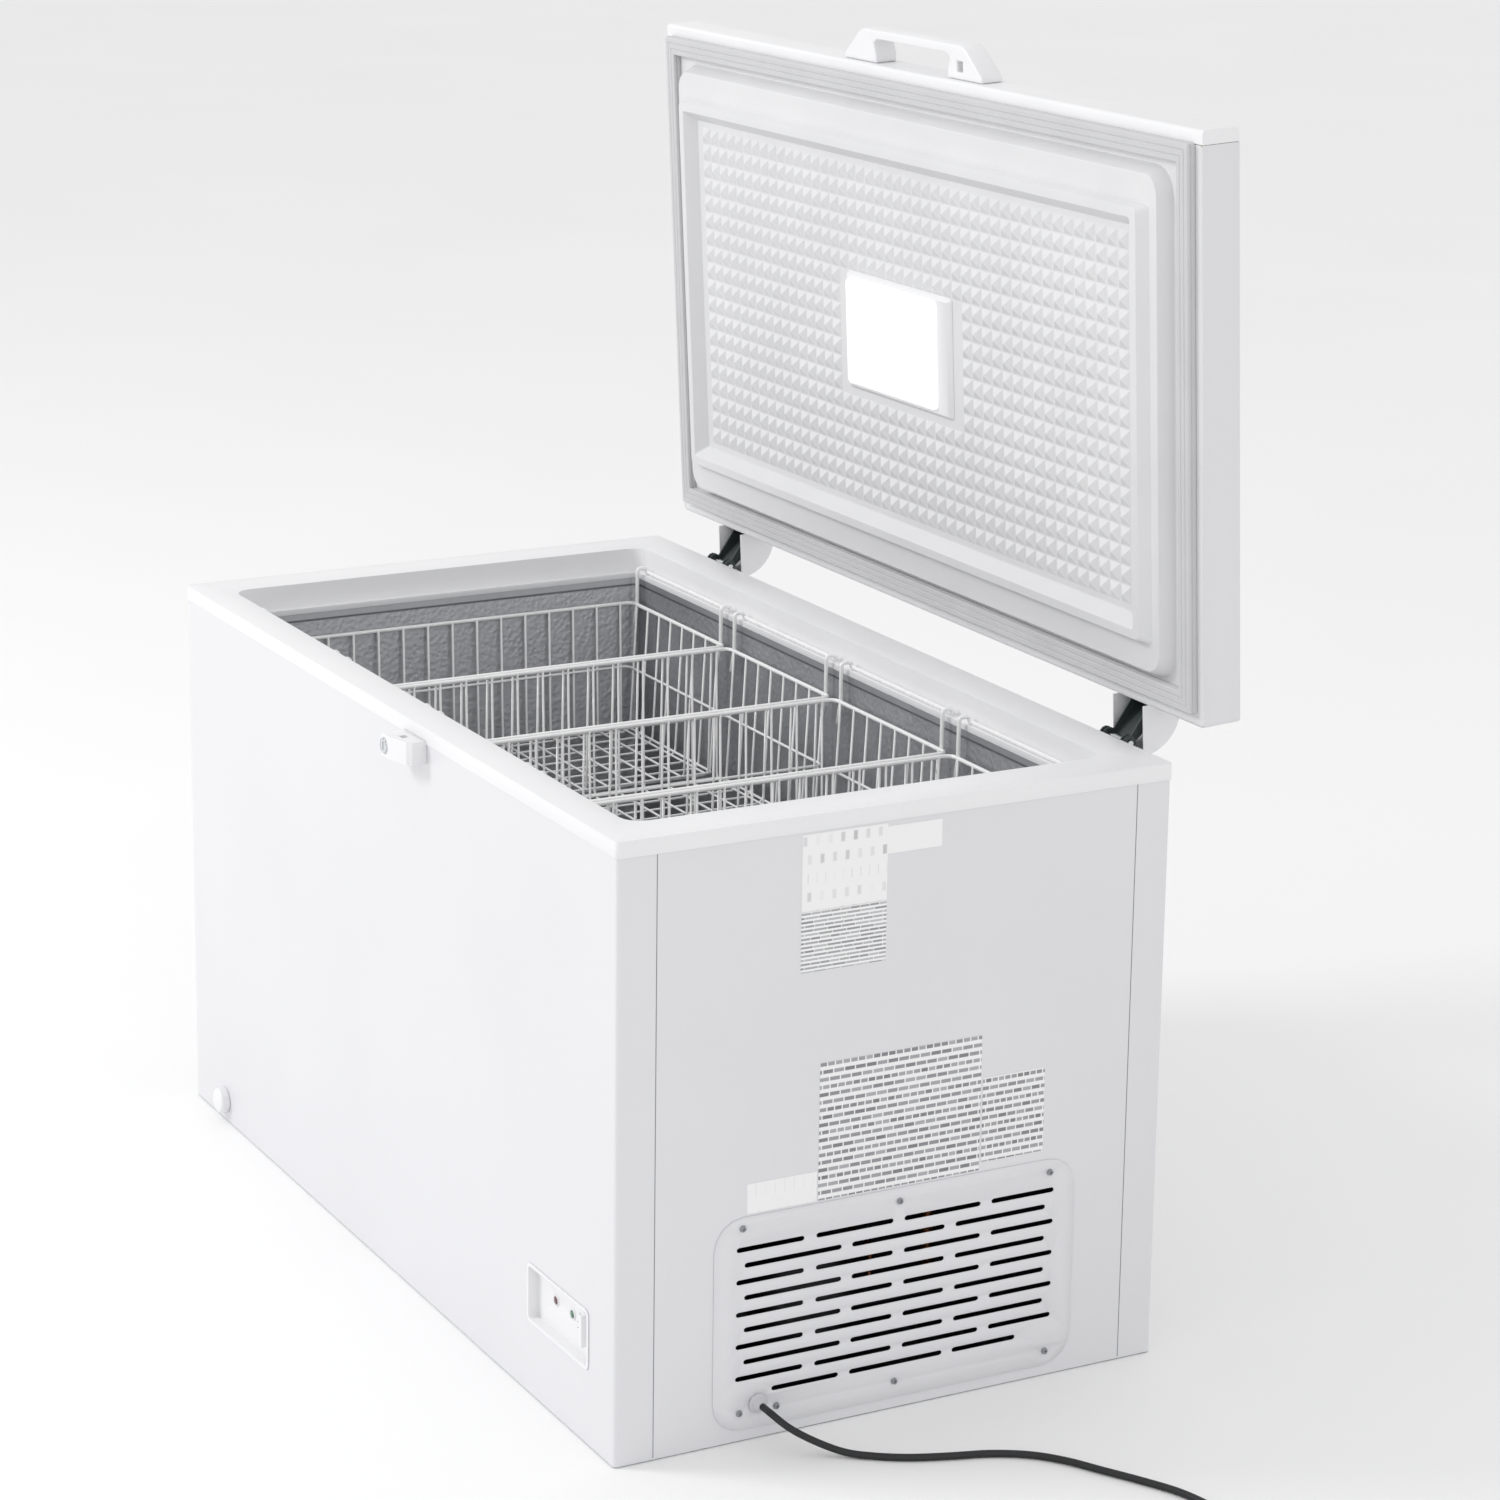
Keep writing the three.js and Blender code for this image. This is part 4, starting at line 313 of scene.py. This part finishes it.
def softened(node, name, width_mm, look, body, segments=2):
    """The shape of a CAD node with its flat triangles merged and its edges rounded, in place of that node.

    Flat faces with many corners, some of them rings, are parted into triangles, which the rounding keeps true.
    """
    shape = bmesh.new()
    shape.from_mesh(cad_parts[node].data)
    bmesh.ops.remove_doubles(shape, verts=shape.verts, dist=1e-6)
    bmesh.ops.dissolve_limit(shape, angle_limit=math.radians(1), verts=shape.verts, edges=shape.edges)
    bmesh.ops.triangulate(shape, faces=[f for f in shape.faces if len(f.verts) > 8])
    mesh = bpy.data.meshes.new(name)
    shape.to_mesh(mesh)
    shape.free()
    mesh.polygons.foreach_set("use_smooth", np.full(len(mesh.polygons), True))
    mesh.materials.clear()
    mesh.materials.append(look)
    made = bpy.data.objects.new(name, mesh)
    bpy.context.scene.collection.objects.link(made)
    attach(made, body)
    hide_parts(node)
    return rounded(made, width_mm, segments)


def coated(node, look):
    """Gives a CAD node that is shown as it is its finish."""
    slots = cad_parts[node].data.materials
    slots.clear()
    slots.append(look)


def hoop(x0, x1, y0, y1, radius, z, steps=6):
    """A level rounded rectangle: four quarter circles joined by straight sides, counter-clockwise."""
    quarter = np.linspace(0, math.pi / 2, steps + 1)
    angles = np.concatenate([quarter - math.pi / 2, quarter, quarter + math.pi / 2, quarter + math.pi])
    cx = np.repeat([x1 - radius, x1 - radius, x0 + radius, x0 + radius], steps + 1)
    cy = np.repeat([y0 + radius, y1 - radius, y1 - radius, y0 + radius], steps + 1)
    return np.stack([cx + radius * np.cos(angles), cy + radius * np.sin(angles), np.full(len(cx), z)], 1)


def banded(rings, around=False):
    """Quads between each ring of points and the next; around also joins the last ring to the first."""
    count, length = len(rings), len(rings[0])
    k = np.arange(count if around else count - 1)[:, None]
    i = np.arange(length)[None, :]
    j, m = (i + 1) % length, (k + 1) % count
    quads = np.stack(np.broadcast_arrays(k * length + i, k * length + j, m * length + j, m * length + i), -1)
    return np.concatenate(rings), quads.reshape(-1, 4)


def swept(points, radius, sides=8, around=False):
    """A round wire along a run of points: rings square to the run, the radius out from it on every side."""
    p = np.asarray(points, float)
    if around:
        before, after = np.roll(p, 1, 0), np.roll(p, -1, 0)
    else:
        before, after = np.vstack([p[:1], p[:-1]]), np.vstack([p[1:], p[-1:]])
    along = after - before
    along /= np.linalg.norm(along, axis=1)[:, None]
    side = np.cross(along, (0.61, 0.47, 0.64))
    side /= np.linalg.norm(side, axis=1)[:, None]
    over = np.cross(along, side)
    a = np.linspace(0, 2 * math.pi, sides, endpoint=False)
    c, s = np.cos(a)[None, :, None], np.sin(a)[None, :, None]
    rings = p[:, None] + radius * (c * side[:, None] + s * over[:, None])
    vertices, quads = banded(list(rings), around)
    faces = [tuple(q) for q in quads]
    if not around:
        faces += [tuple(range(sides))[::-1], tuple(range(len(vertices) - sides, len(vertices)))]
    return vertices, faces


def gathered(parts):
    """Several shapes as one list of points and faces."""
    points, faces, start = [], [], 0
    for vertices, own in parts:
        points.append(vertices)
        faces += [tuple(int(i) + start for i in face) for face in own]
        start += len(vertices)
    return np.concatenate(points), faces


def bent(corners, radius, steps=5):
    """A run of points through corners, each corner an arc of the given radius."""
    c = np.asarray(corners, float)
    run = [c[:1]]
    for before, at, after in zip(c[:-2], c[1:-1], c[2:]):
        back, ahead = before - at, after - at
        back_length, ahead_length = np.linalg.norm(back), np.linalg.norm(ahead)
        back, ahead = back / back_length, ahead / ahead_length
        half = math.acos(np.clip(back @ ahead, -1, 1)) / 2
        if half > 1.55:
            continue
        reach = min(radius / math.tan(half), 0.45 * back_length, 0.45 * ahead_length)
        towards = (back + ahead) / np.linalg.norm(back + ahead)
        centre = at + towards * reach / math.cos(half)
        first, last = at + back * reach - centre, at + ahead * reach - centre
        sweep = math.pi - 2 * half
        t = np.linspace(0, 1, steps + 1)[:, None]
        run.append(centre + (np.sin((1 - t) * sweep) * first + np.sin(t * sweep) * last) / math.sin(sweep))
    return np.concatenate(run + [c[-1:]])


# ---- cord

CORD_RADIUS, CORD_CLEARANCE = 0.0045, 0.00005
CORD_ROUTE = [
    (712.6, -187.9, 46.9), (722.6, -187.9, 46.9), (734.6, -187.9, 46.9), (754.6, -174.9, 34.9),
    (772, -150, 20), (792, -118, 7), (812, -90, 4.7), (834, -54, 4.7), (852, -8, 4.7), (868, 40, 4.7),
    (893, 82, 4.7), (926, 112, 4.7), (964, 135, 4.7), (1008, 162, 4.7), (1054, 186, 4.7), (1100, 198, 4.7),
    (1150, 201, 4.7), (1180, 201, 4.7), (1213, 201, 4.7),
]
COIL_X, COIL_Y, COIL_INNER, COIL_OUTER, COIL_LOW, COIL_HIGH = 1250, 257.5, 47.5, 56.5, 4.9, 13.7
PLUG_X, PLUG_Y, PLUG_Z = 1306.5, 295.5, 9.8


def eased(x):
    """From 0 to 1 with level ends: three times the square less twice the cube."""
    x = np.clip(x, 0, 1)
    return x * x * (3 - 2 * x)


def smooth_run(points, steps):
    """A Catmull-Rom curve through points, with centripetal spacing, sampled evenly between each two."""
    p = np.asarray(points, float)
    p = np.vstack([2 * p[0] - p[1], p, 2 * p[-1] - p[-2]])
    t = np.linspace(0, 1, steps, endpoint=False)[:, None]
    run = []
    for a, b, c, d in zip(p[:-3], p[1:-2], p[2:-1], p[3:]):
        ab, bc, cd = (max(np.linalg.norm(v) ** 0.5, 1e-6) for v in (b - a, c - b, d - c))
        start = ((b - a) / ab - (c - a) / (ab + bc) + (c - b) / bc) * bc
        end = ((c - b) / bc - (d - b) / (bc + cd) + (d - c) / cd) * bc
        square, cube = 3 * (c - b) - 2 * start - end, 2 * (b - c) + start + end
        run.append(b + start * t + square * t ** 2 + cube * t ** 3)
    return np.vstack(run + [p[-2:-1]])


def coil_turns():
    """Three and a quarter turns: outer low, inner low, inner high, then outer high towards the plug."""
    turn = np.linspace(0, 3.25, 3 * 40 + 11)[1:]
    shift = [eased((turn - k + 0.17) / 0.17) for k in (1, 2, 3)]
    radius = COIL_OUTER + (COIL_INNER - COIL_OUTER) * (shift[0] - shift[2])
    height = COIL_LOW + (COIL_HIGH - COIL_LOW) * shift[1]
    angle = 2 * math.pi * turn - math.pi / 2
    return np.stack([COIL_X + radius * np.cos(angle), COIL_Y + radius * np.sin(angle), height], 1)


def lay_cord():
    """The cord as one round spline along its whole route, from the strain relief to the plug's boot."""
    turns = coil_turns()
    to_plug = [(1306, 275, 12.4), (PLUG_X, PLUG_Y - 6, PLUG_Z), (PLUG_X, PLUG_Y, PLUG_Z)]
    tail = smooth_run([turns[-2], turns[-1], *to_plug], 4)[5:]
    run = np.concatenate([smooth_run(CORD_ROUTE, 5), turns, tail]) * MM
    curve = bpy.data.curves.new("cord", "CURVE")
    curve.dimensions, curve.bevel_depth, curve.bevel_resolution = "3D", CORD_RADIUS - CORD_CLEARANCE, 3
    curve.use_fill_caps = True
    spline = curve.splines.new("POLY")
    spline.points.add(len(run) - 1)
    spline.points.foreach_set("co", np.hstack([run, np.ones((len(run), 1))]).ravel())
    spline.use_smooth = True
    curve.materials.append(CORD_PVC)
    made = bpy.data.objects.new("cord", curve)
    bpy.context.scene.collection.objects.link(made)
    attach(made, "cabinet")
    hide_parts("power_cord", "cord_coil")
    return made, float(np.linalg.norm(np.diff(run, axis=0), axis=1).sum())


def lofted(sections, power=4.0, sides=28):
    """Rounded boxes along Y: at each section x and z follow the signed 2/power root of cosine and sine."""
    a = np.linspace(0, 2 * math.pi, sides, endpoint=False)
    c, s = np.cos(a), np.sin(a)
    x, z = np.sign(c) * np.abs(c) ** (2 / power), np.sign(s) * np.abs(s) ** (2 / power)
    rings = [np.stack([cx + hx * x, np.full(sides, y), cz + hz * z], 1) for cx, y, cz, hx, hz in sections]
    vertices, quads = banded(rings)
    ends = [tuple(range(sides)), tuple(range(len(vertices) - sides, len(vertices)))[::-1]]
    faces = [tuple(q)[::-1] for q in quads] + ends
    return vertices, faces


def make_plug():
    """A moulded plug: a ribbed boot that swells into a waisted grip, with three contacts at its nose."""
    boot = [(PLUG_X, PLUG_Y + y, PLUG_Z, r, r) for y, r in
            ((0, 5.2), (3, 5.6), (3.4, 6.4), (5, 6.4), (5.4, 5.8),
             (7.4, 6.2), (7.8, 7.0), (9.4, 7.0), (9.8, 6.4), (12, 7.4))]
    grip = [(PLUG_X, PLUG_Y + y, 13.8, hx, hz) for y, hx, hz in
            ((14.2, 9, 10), (16, 11, 12.4), (22, 10.2, 11.6), (28, 10.4, 12),
             (34, 11.6, 13.2), (39, 11.9, 13.4), (41, 11.4, 12.9))]
    vertices, faces = lofted([(x, y, z, a, b) for x, y, z, a, b in boot + grip], 3.2)
    plug = piece("plug_moulding", vertices * MM, faces, CORD_PVC, "cabinet")
    nose = PLUG_Y + 40.5
    flat = [lofted([(PLUG_X + dx, nose, 15.8, 0.8, 3.2), (PLUG_X + dx, nose + 15, 15.8, 0.8, 3.2),
                    (PLUG_X + dx, nose + 16, 15.8, 0.4, 2.4)], 8, 16) for dx in (-6.4, 6.4)]
    pin = lofted([(PLUG_X, nose, 6.8, 2.4, 2.4), (PLUG_X, nose + 17, 6.8, 2.4, 2.4),
                  (PLUG_X, nose + 19, 6.8, 1.0, 1.0)], 2, 16)
    vertices, faces = gathered(flat + [pin])
    blades = piece("plug_blades", vertices * MM, faces, NICKEL, "cabinet")
    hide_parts("power_plug")
    return plug, blades


cord, cord_length = lay_cord()
plug, blades = make_plug()
tie = softened("cord_tie", "cord_tie_strap", 0.4, CORD_PVC, "cabinet")
relief = softened("cord_strain_relief", "strain_relief_bush", 0.6, GREY_ABS, "cabinet")


# ---- cabinet

for node in ("front_panel", "rear_panel", "left_end_panel", "right_end_panel"):
    coated(node, ENAMEL)
coated("base_pan", GALVANISED)
coated("foam_insulation", FOAM)
coated("evaporator_coil", ALUMINIUM_TUBE)
coated("condenser_coil", POWDER_COAT)
coated("suction_tube", COPPER)
coated("filter_drier", COPPER)
coated("drain_tube", GREY_ABS)
coated("thermostat_body", GREY_ABS)
coated("lid_foam", FOAM)
softened("inner_liner", "stucco_tub", 0.4, STUCCO, "cabinet")
softened("top_collar", "collar_moulding", 1.1, ABS, "cabinet", 3)
softened("vent_grille", "louvred_vent", 0.35, ENAMEL, "cabinet", 1)
for index in range(1, 8):
    softened(f"vent_screw_{index}", f"pan_head_screw_{index}", 0.25, ZINC, "cabinet")
softened("compressor", "compressor_pot", 2.0, STOVED_BLACK, "cabinet")
softened("compressor_mount_plate", "compressor_cradle", 0.8, POWDER_COAT, "cabinet")
softened("compressor_relay_cover", "relay_cover", 2.0, CORD_PVC, "cabinet")
softened("drain_cap", "drain_cap_moulding", 1.2, ABS, "drain_cap", 3)
softened("tub_drain_plug", "tub_plug_moulding", 0.8, SEAL_PVC, "tub_drain_plug")
softened("control_panel", "control_housing", 1.0, ABS, "cabinet", 3)
softened("thermostat_knob", "dial_moulding", 0.8, ABS, "thermostat_knob", 3)
RED_LENS = pilot_lens("red_tinted_acrylic", "4a1f2a", "6b3440")
softened("pilot_lamp_red", "red_pilot_lens", 0.8, RED_LENS, "cabinet")
GREEN_LENS = pilot_lens("green_tinted_acrylic", "3c6652", "57866f")
softened("pilot_lamp_green", "green_pilot_lens", 0.8, GREEN_LENS, "cabinet")
softened("lock_body", "lock_moulding", 2.0, ABS, "cabinet", 4)
softened("lock_cylinder", "key_cylinder", 0.5, CHROMIUM, "lock_cylinder")


def pilot_rims():
    """A raised white ring round each pilot lamp: a round bead swept on a circle that faces forwards."""
    parts = []
    angle = np.linspace(0, 2 * math.pi, 32, endpoint=False)
    for node in ("pilot_lamp_red", "pilot_lamp_green"):
        low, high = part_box(node)
        ring = np.stack([(low.x + high.x) / 2 + 0.0064 * np.cos(angle), np.full(32, RECESS_Y - 0.0005),
                         (low.z + high.z) / 2 + 0.0064 * np.sin(angle)], 1)
        parts.append(swept(ring, 0.0011, 8, True))
    vertices, faces = gathered(parts)
    piece("pilot_rims", vertices, faces, ABS, "cabinet")


def dial_marks():
    """Plain printed ticks round the dial, longer towards cold: thin bars set out on an arc."""
    low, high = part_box("thermostat_knob")
    x, z = (low.x + high.x) / 2, (low.z + high.z) / 2
    t = np.linspace(0, 1, 5)
    angle = math.radians(150) + t * math.radians(60)
    reach = 0.0235 + np.array([[0.0], [1.0]]) * (0.003 + 0.004 * t)
    cos, sin = np.cos(angle), np.sin(angle)
    across = np.stack([-sin, np.zeros(5), cos], 1) * 0.0006
    ends = np.stack([x + reach * cos, np.full((2, 5), RECESS_Y - 0.00015), z + reach * sin], -1)
    corners = np.stack([ends[0] - across, ends[0] + across, ends[1] + across, ends[1] - across], 1)
    back = corners + np.array([0, 0.0002, 0])
    box = np.concatenate([corners, back], 1).reshape(-1, 3)
    one = np.array([[0, 1, 2, 3], [7, 6, 5, 4], [0, 4, 5, 1], [1, 5, 6, 2], [2, 6, 7, 3], [3, 7, 4, 0]])
    faces = (one[None] + 8 * np.arange(5)[:, None, None]).reshape(-1, 4)
    piece("dial_marks", box, faces, CORD_PVC, "cabinet", smooth=False)


pilot_rims()
dial_marks()


def label_plate(name, y0, y1, z0, z1, look):
    """A paper label a fifth of a millimetre thick, flat on the right end panel."""
    rings = [hoop(y0, y1, z0, z1, 1.5 * MM, out, 3) for out in (0.0, LABEL_THICKNESS)]
    rings = [np.stack([LABEL_X + r[:, 2], r[:, 0], r[:, 1]], 1) for r in rings]
    vertices, quads = banded(rings)
    count = len(rings[0])
    faces = [tuple(q) for q in quads] + [tuple(range(count))[::-1], tuple(range(count, 2 * count))]
    piece(name, vertices, faces, look, "cabinet", smooth=False)


# Each label: its ends along y from the front edge, its ends in z, all in mm, and its print.
for name, (y0, y1, z0, z1), print_of in (
    ("data_label", (245, 361, 585, 660), (5.2, 19)),
    ("diagram_label", (245, 361, 661, 756), (23, 17, "b4b4b8", "f4f4f4", 1.0)),
    ("stock_label", (361, 436, 718, 752), (60, 2.6, "303034", "f4f4f4", 1.6)),
    ("large_notice_label", (274, 500, 293, 468), (9.6, 15, "7c7c80", "b0b0b4")),
    ("small_notice_label", (503, 592, 303, 412), (9.6, 13, "7c7c80", "b0b0b4")),
    ("narrow_notice_label", (177, 272, 293, 331), (38, 13, "58585c", "d8d8da", 1.4)),
):
    place = (FRONT_Y + y0 * MM, FRONT_Y + y1 * MM, z0 * MM, z1 * MM)
    label_plate(name, *place, ruled_label("printed_" + name, *print_of))


def seam_beads():
    """Thin grey sealer in the upright joints of the end panels: a flat box, 1.1 mm wide, at each joint."""
    made, tree, shader, where = surface("grey_acrylic_sealer", IOR=1.5, Roughness=0.6)
    tree.links.new(blended(tree, noise(tree, where, 25), "77777b", "8b8b8f"), shader.inputs["Base Color"])
    parts = []
    for side in (-1, 1):
        for y in (-0.32895, 0.33165):
            x = np.array([0.69845, 0.69865]) * side
            rings = [hoop(min(x), max(x), y - 0.00055, y + 0.00055, 0.00005, z, 1) for z in (0.004, 0.759)]
            vertices, quads = banded(rings)
            count = len(rings[0])
            caps = [tuple(range(count))[::-1], tuple(range(count, 2 * count))]
            parts.append((vertices, [tuple(q) for q in quads] + caps))
    vertices, faces = gathered(parts)
    piece("joint_sealer", vertices, faces, made, "cabinet", smooth=False)


seam_beads()


# ---- baskets

# The rail's height and the radii of the four wires, in mm.
RAIL_Z, RAIL_WIRE, RING_WIRE, MESH_WIRE, HOOK_WIRE = 702.0, 3.0, 2.0, 1.75, 2.9


def basket_wires(node):
    """One basket: a thick rail, rings below it, U-shaped wires both ways, a hook wire at front and back."""
    low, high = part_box(node)
    x0, x1 = low.x / MM, high.x / MM
    bottom, rail = low.z / MM, RAIL_Z
    parts = [swept(hoop(x0 + 3, x1 - 3, -297, 297, 12, rail), RAIL_WIRE, 10, True)]
    for z, wire in ((bottom + 8, RING_WIRE), (bottom + 100, RING_WIRE)):
        share = (rail - z) / (rail - bottom)
        dx, dy = 3 + 6 * share + 2.2, 300 - 12 * share - 5.2
        parts.append(swept(hoop(x0 + dx, x1 - dx, -dy, dy, 10, z), wire, 8, True))
    for x in np.linspace(x0 + 22, x1 - 22, 8):
        wire = [(x, -295.5, rail), (x, -285, bottom + 2), (x, 285, bottom + 2), (x, 295.5, rail)]
        parts.append(swept(bent(wire, 12), MESH_WIRE))
    for y in np.linspace(-276, 276, 15):
        parts.append(swept(bent([(x0 + 4.5, y, rail), (x0 + 10.5, y, bottom + 5), (x1 - 10.5, y, bottom + 5),
                                 (x1 - 4.5, y, rail)], 12), MESH_WIRE))
    a, b = x0 + 18, x1 - 18
    for s in (-1, 1):
        rise = [(a, s * 293, rail - 30), (a, s * 298, rail), (a, s * 298, 757.4), (a, s * 313, 756.4)]
        level = [(a + 1, s * 313, 750.5), (b - 1, s * 313, 750.5)]
        fall = [(b, s * 313, 756.4), (b, s * 298, 757.4), (b, s * 298, rail), (b, s * 293, rail - 30)]
        parts.append(swept(bent(rise + level + fall, 5, 4), HOOK_WIRE, 10))
    vertices, faces = gathered(parts)
    made = piece(node + "_wires", vertices * MM, faces, COATED_WIRE, node)
    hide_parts(node)


for index in range(1, 5):
    basket_wires(f"basket_{index}")


# ---- lid

def lid_liner():
    """The formed inner face of the lid: a flat flange, a plug wall, a step, a raised ridge and a recess."""
    front = [
        (-696.2, 696.2, -363.9, 357.9, 5, 792), (-637.5, 637.5, -331.5, 314.5, 36, 792),
        (-627.5, 627.5, -321.5, 304.5, 26, 772), (-613.5, 613.5, -285.5, 268.5, 8, 772),
        (-602.5, 602.5, -280, 263, 8, 758), (-590.5, 590.5, -268, 251, 5, 758),
        (-576.5, 576.5, -254, 237, 3, 776),
    ]
    rings = [hoop(*r) for r in front] + [hoop(*r[:5], r[5] + 2) for r in reversed(front)]
    vertices, quads = banded(rings, True)
    count = len(rings[0])
    middle = len(front) - 1
    faces = [tuple(q)[::-1] for q in quads]
    inner_front = tuple(range(middle * count, (middle + 1) * count))
    inner_back = tuple(range((middle + 1) * count, (middle + 2) * count))
    joining = set(tuple(q)[::-1] for q in quads[middle * count:(middle + 1) * count])
    faces = [f for f in faces if f not in joining] + [inner_front[::-1], inner_back]
    skin = piece("lid_liner_moulding", opened(vertices * MM), faces, POLYSTYRENE, "lid")
    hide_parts("lid_inner_liner")
    rounded(skin, 2.2, 3)


def lid_pyramids():
    """Square pyramids 25 mm apart over the recess: a base sunk in the skin and a tip, none under the lamp."""
    x, y = np.meshgrid((np.arange(45) - 22) * 25.0, (np.arange(19) - 9) * 25.0 - 8.5, indexing="ij")
    x, y = x.ravel(), y.ravel()
    keep = (np.abs(x) > 139 + 11) | (np.abs(y + 13.8) > 83 + 11)
    x, y = x[keep], y[keep]
    half, tall = 12.1, 6.5
    corner = np.array([[-half, -half, 0.4], [half, -half, 0.4], [half, half, 0.4], [-half, half, 0.4],
                       [0, 0, -tall]])
    points = np.stack([x, y, np.full(len(x), 776.0)], 1)[:, None] + corner[None]
    one = [(0, 1, 2, 3), (0, 4, 1, 1), (1, 4, 2, 2), (2, 4, 3, 3), (3, 4, 0, 0)]
    start = 5 * np.arange(len(x))
    faces = [tuple(dict.fromkeys(int(s) + i for i in face)) for s in start for face in one]
    tips = opened(points.reshape(-1, 3) * MM)
    piece("lid_liner_pyramids", tips, faces, POLYSTYRENE, "lid", smooth=False)


def lid_seal():
    """The magnetic seal: a bellows section with two grooves on its face, carried round the lid."""
    section = [(0, 791.6), (0, 787.4), (1.6, 785.8), (0, 784.2), (0.8, 781.4), (2.2, 780.4),
               (7.6, 780.4), (8.8, 781.7), (10, 780.4), (16, 780.4), (17.2, 781.7), (18.4, 780.4),
               (23.8, 780.4), (25.2, 781.4), (26, 784.2), (24.4, 785.8), (26, 787.4), (26, 791.6)]
    rings = [hoop(-682.5 + d, 682.5 - d, -366.5 + d, 343.2 - d, max(4 - d, 0.3), z, 4) for d, z in section]
    vertices, quads = banded(rings, True)
    faces = [tuple(q)[::-1] for q in quads]
    made = piece("seal_extrusion", opened(vertices * MM), faces, SEAL_PVC, "lid")
    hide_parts("lid_gasket")
    rounded(made, 0.3, 2)


lid_liner()
lid_pyramids()
lid_seal()
softened("lid_outer_shell", "lid_shell", 0.45, ENAMEL, "lid")
softened("lid_front_trim", "lid_trim_extrusion", 1.2, ABS, "lid", 3)
softened("lid_handle", "handle_moulding", 3.2, ABS, "lid", 4)
softened("lamp_base", "lamp_frame", 1.2, ABS, "lid", 3)
softened("lamp_lens", "lamp_diffuser", 2.5, OPAL, "lid", 4)


# ---- hinges

for side in ("left", "right"):
    softened(f"hinge_bracket_{side}", f"hinge_plate_{side}", 0.5, POWDER_COAT, "cabinet")
    softened(f"hinge_arm_{side}", f"hinge_leaf_{side}", 0.5, POWDER_COAT, "lid")
    softened(f"hinge_pin_{side}", f"hinge_rivet_{side}", 0.6, CHROMIUM, "cabinet")
    softened(f"hinge_housing_{side}", f"hinge_pocket_{side}", 1.0, ABS, "cabinet", 3)
    softened(f"hinge_shroud_{side}", f"hinge_cover_{side}", 0.8, ABS, "lid", 3)


# ---- floor and light

def studio():
    """A pale floor that runs out of sight, an even sky, a soft light from the left, a weak one from the right."""
    mesh = bpy.data.meshes.new("floor")
    mesh.from_pydata([(-40, -40, 0), (40, -40, 0), (40, 40, 0), (-40, 40, 0)], [], [(0, 1, 2, 3)])
    made, tree, shader, where = surface("pale_floor", Roughness=0.8)
    tree.links.new(blended(tree, noise(tree, where, 900), "f7f7f7", "fbfbfb"), shader.inputs["Base Color"])
    mesh.materials.append(made)
    floor = bpy.data.objects.new("floor", mesh)
    bpy.context.scene.collection.objects.link(floor)
    world = bpy.data.worlds.new("sky")
    world.use_nodes = True
    world.node_tree.nodes["Background"].inputs[0].default_value = (1, 1, 1, 1)
    world.node_tree.nodes["Background"].inputs[1].default_value = 0.86
    bpy.context.scene.world = world
    bpy.context.scene.view_settings.view_transform = "Standard"
    for name, place, target, size, power in (
        ("key", (-2.6, -5.2, 4.6), (0, 0, 0.6), 1.8, 150), ("fill", (5.5, -1.5, 3.2), (0.6, 0, 0.5), 3.0, 12),
    ):
        light = bpy.data.lights.new(name, "AREA")
        light.size, light.energy = size, power
        lamp = bpy.data.objects.new(name, light)
        lamp.location = place
        lamp.rotation_euler = (Vector(target) - Vector(place)).to_track_quat("-Z", "Y").to_euler()
        bpy.context.scene.collection.objects.link(lamp)


studio()
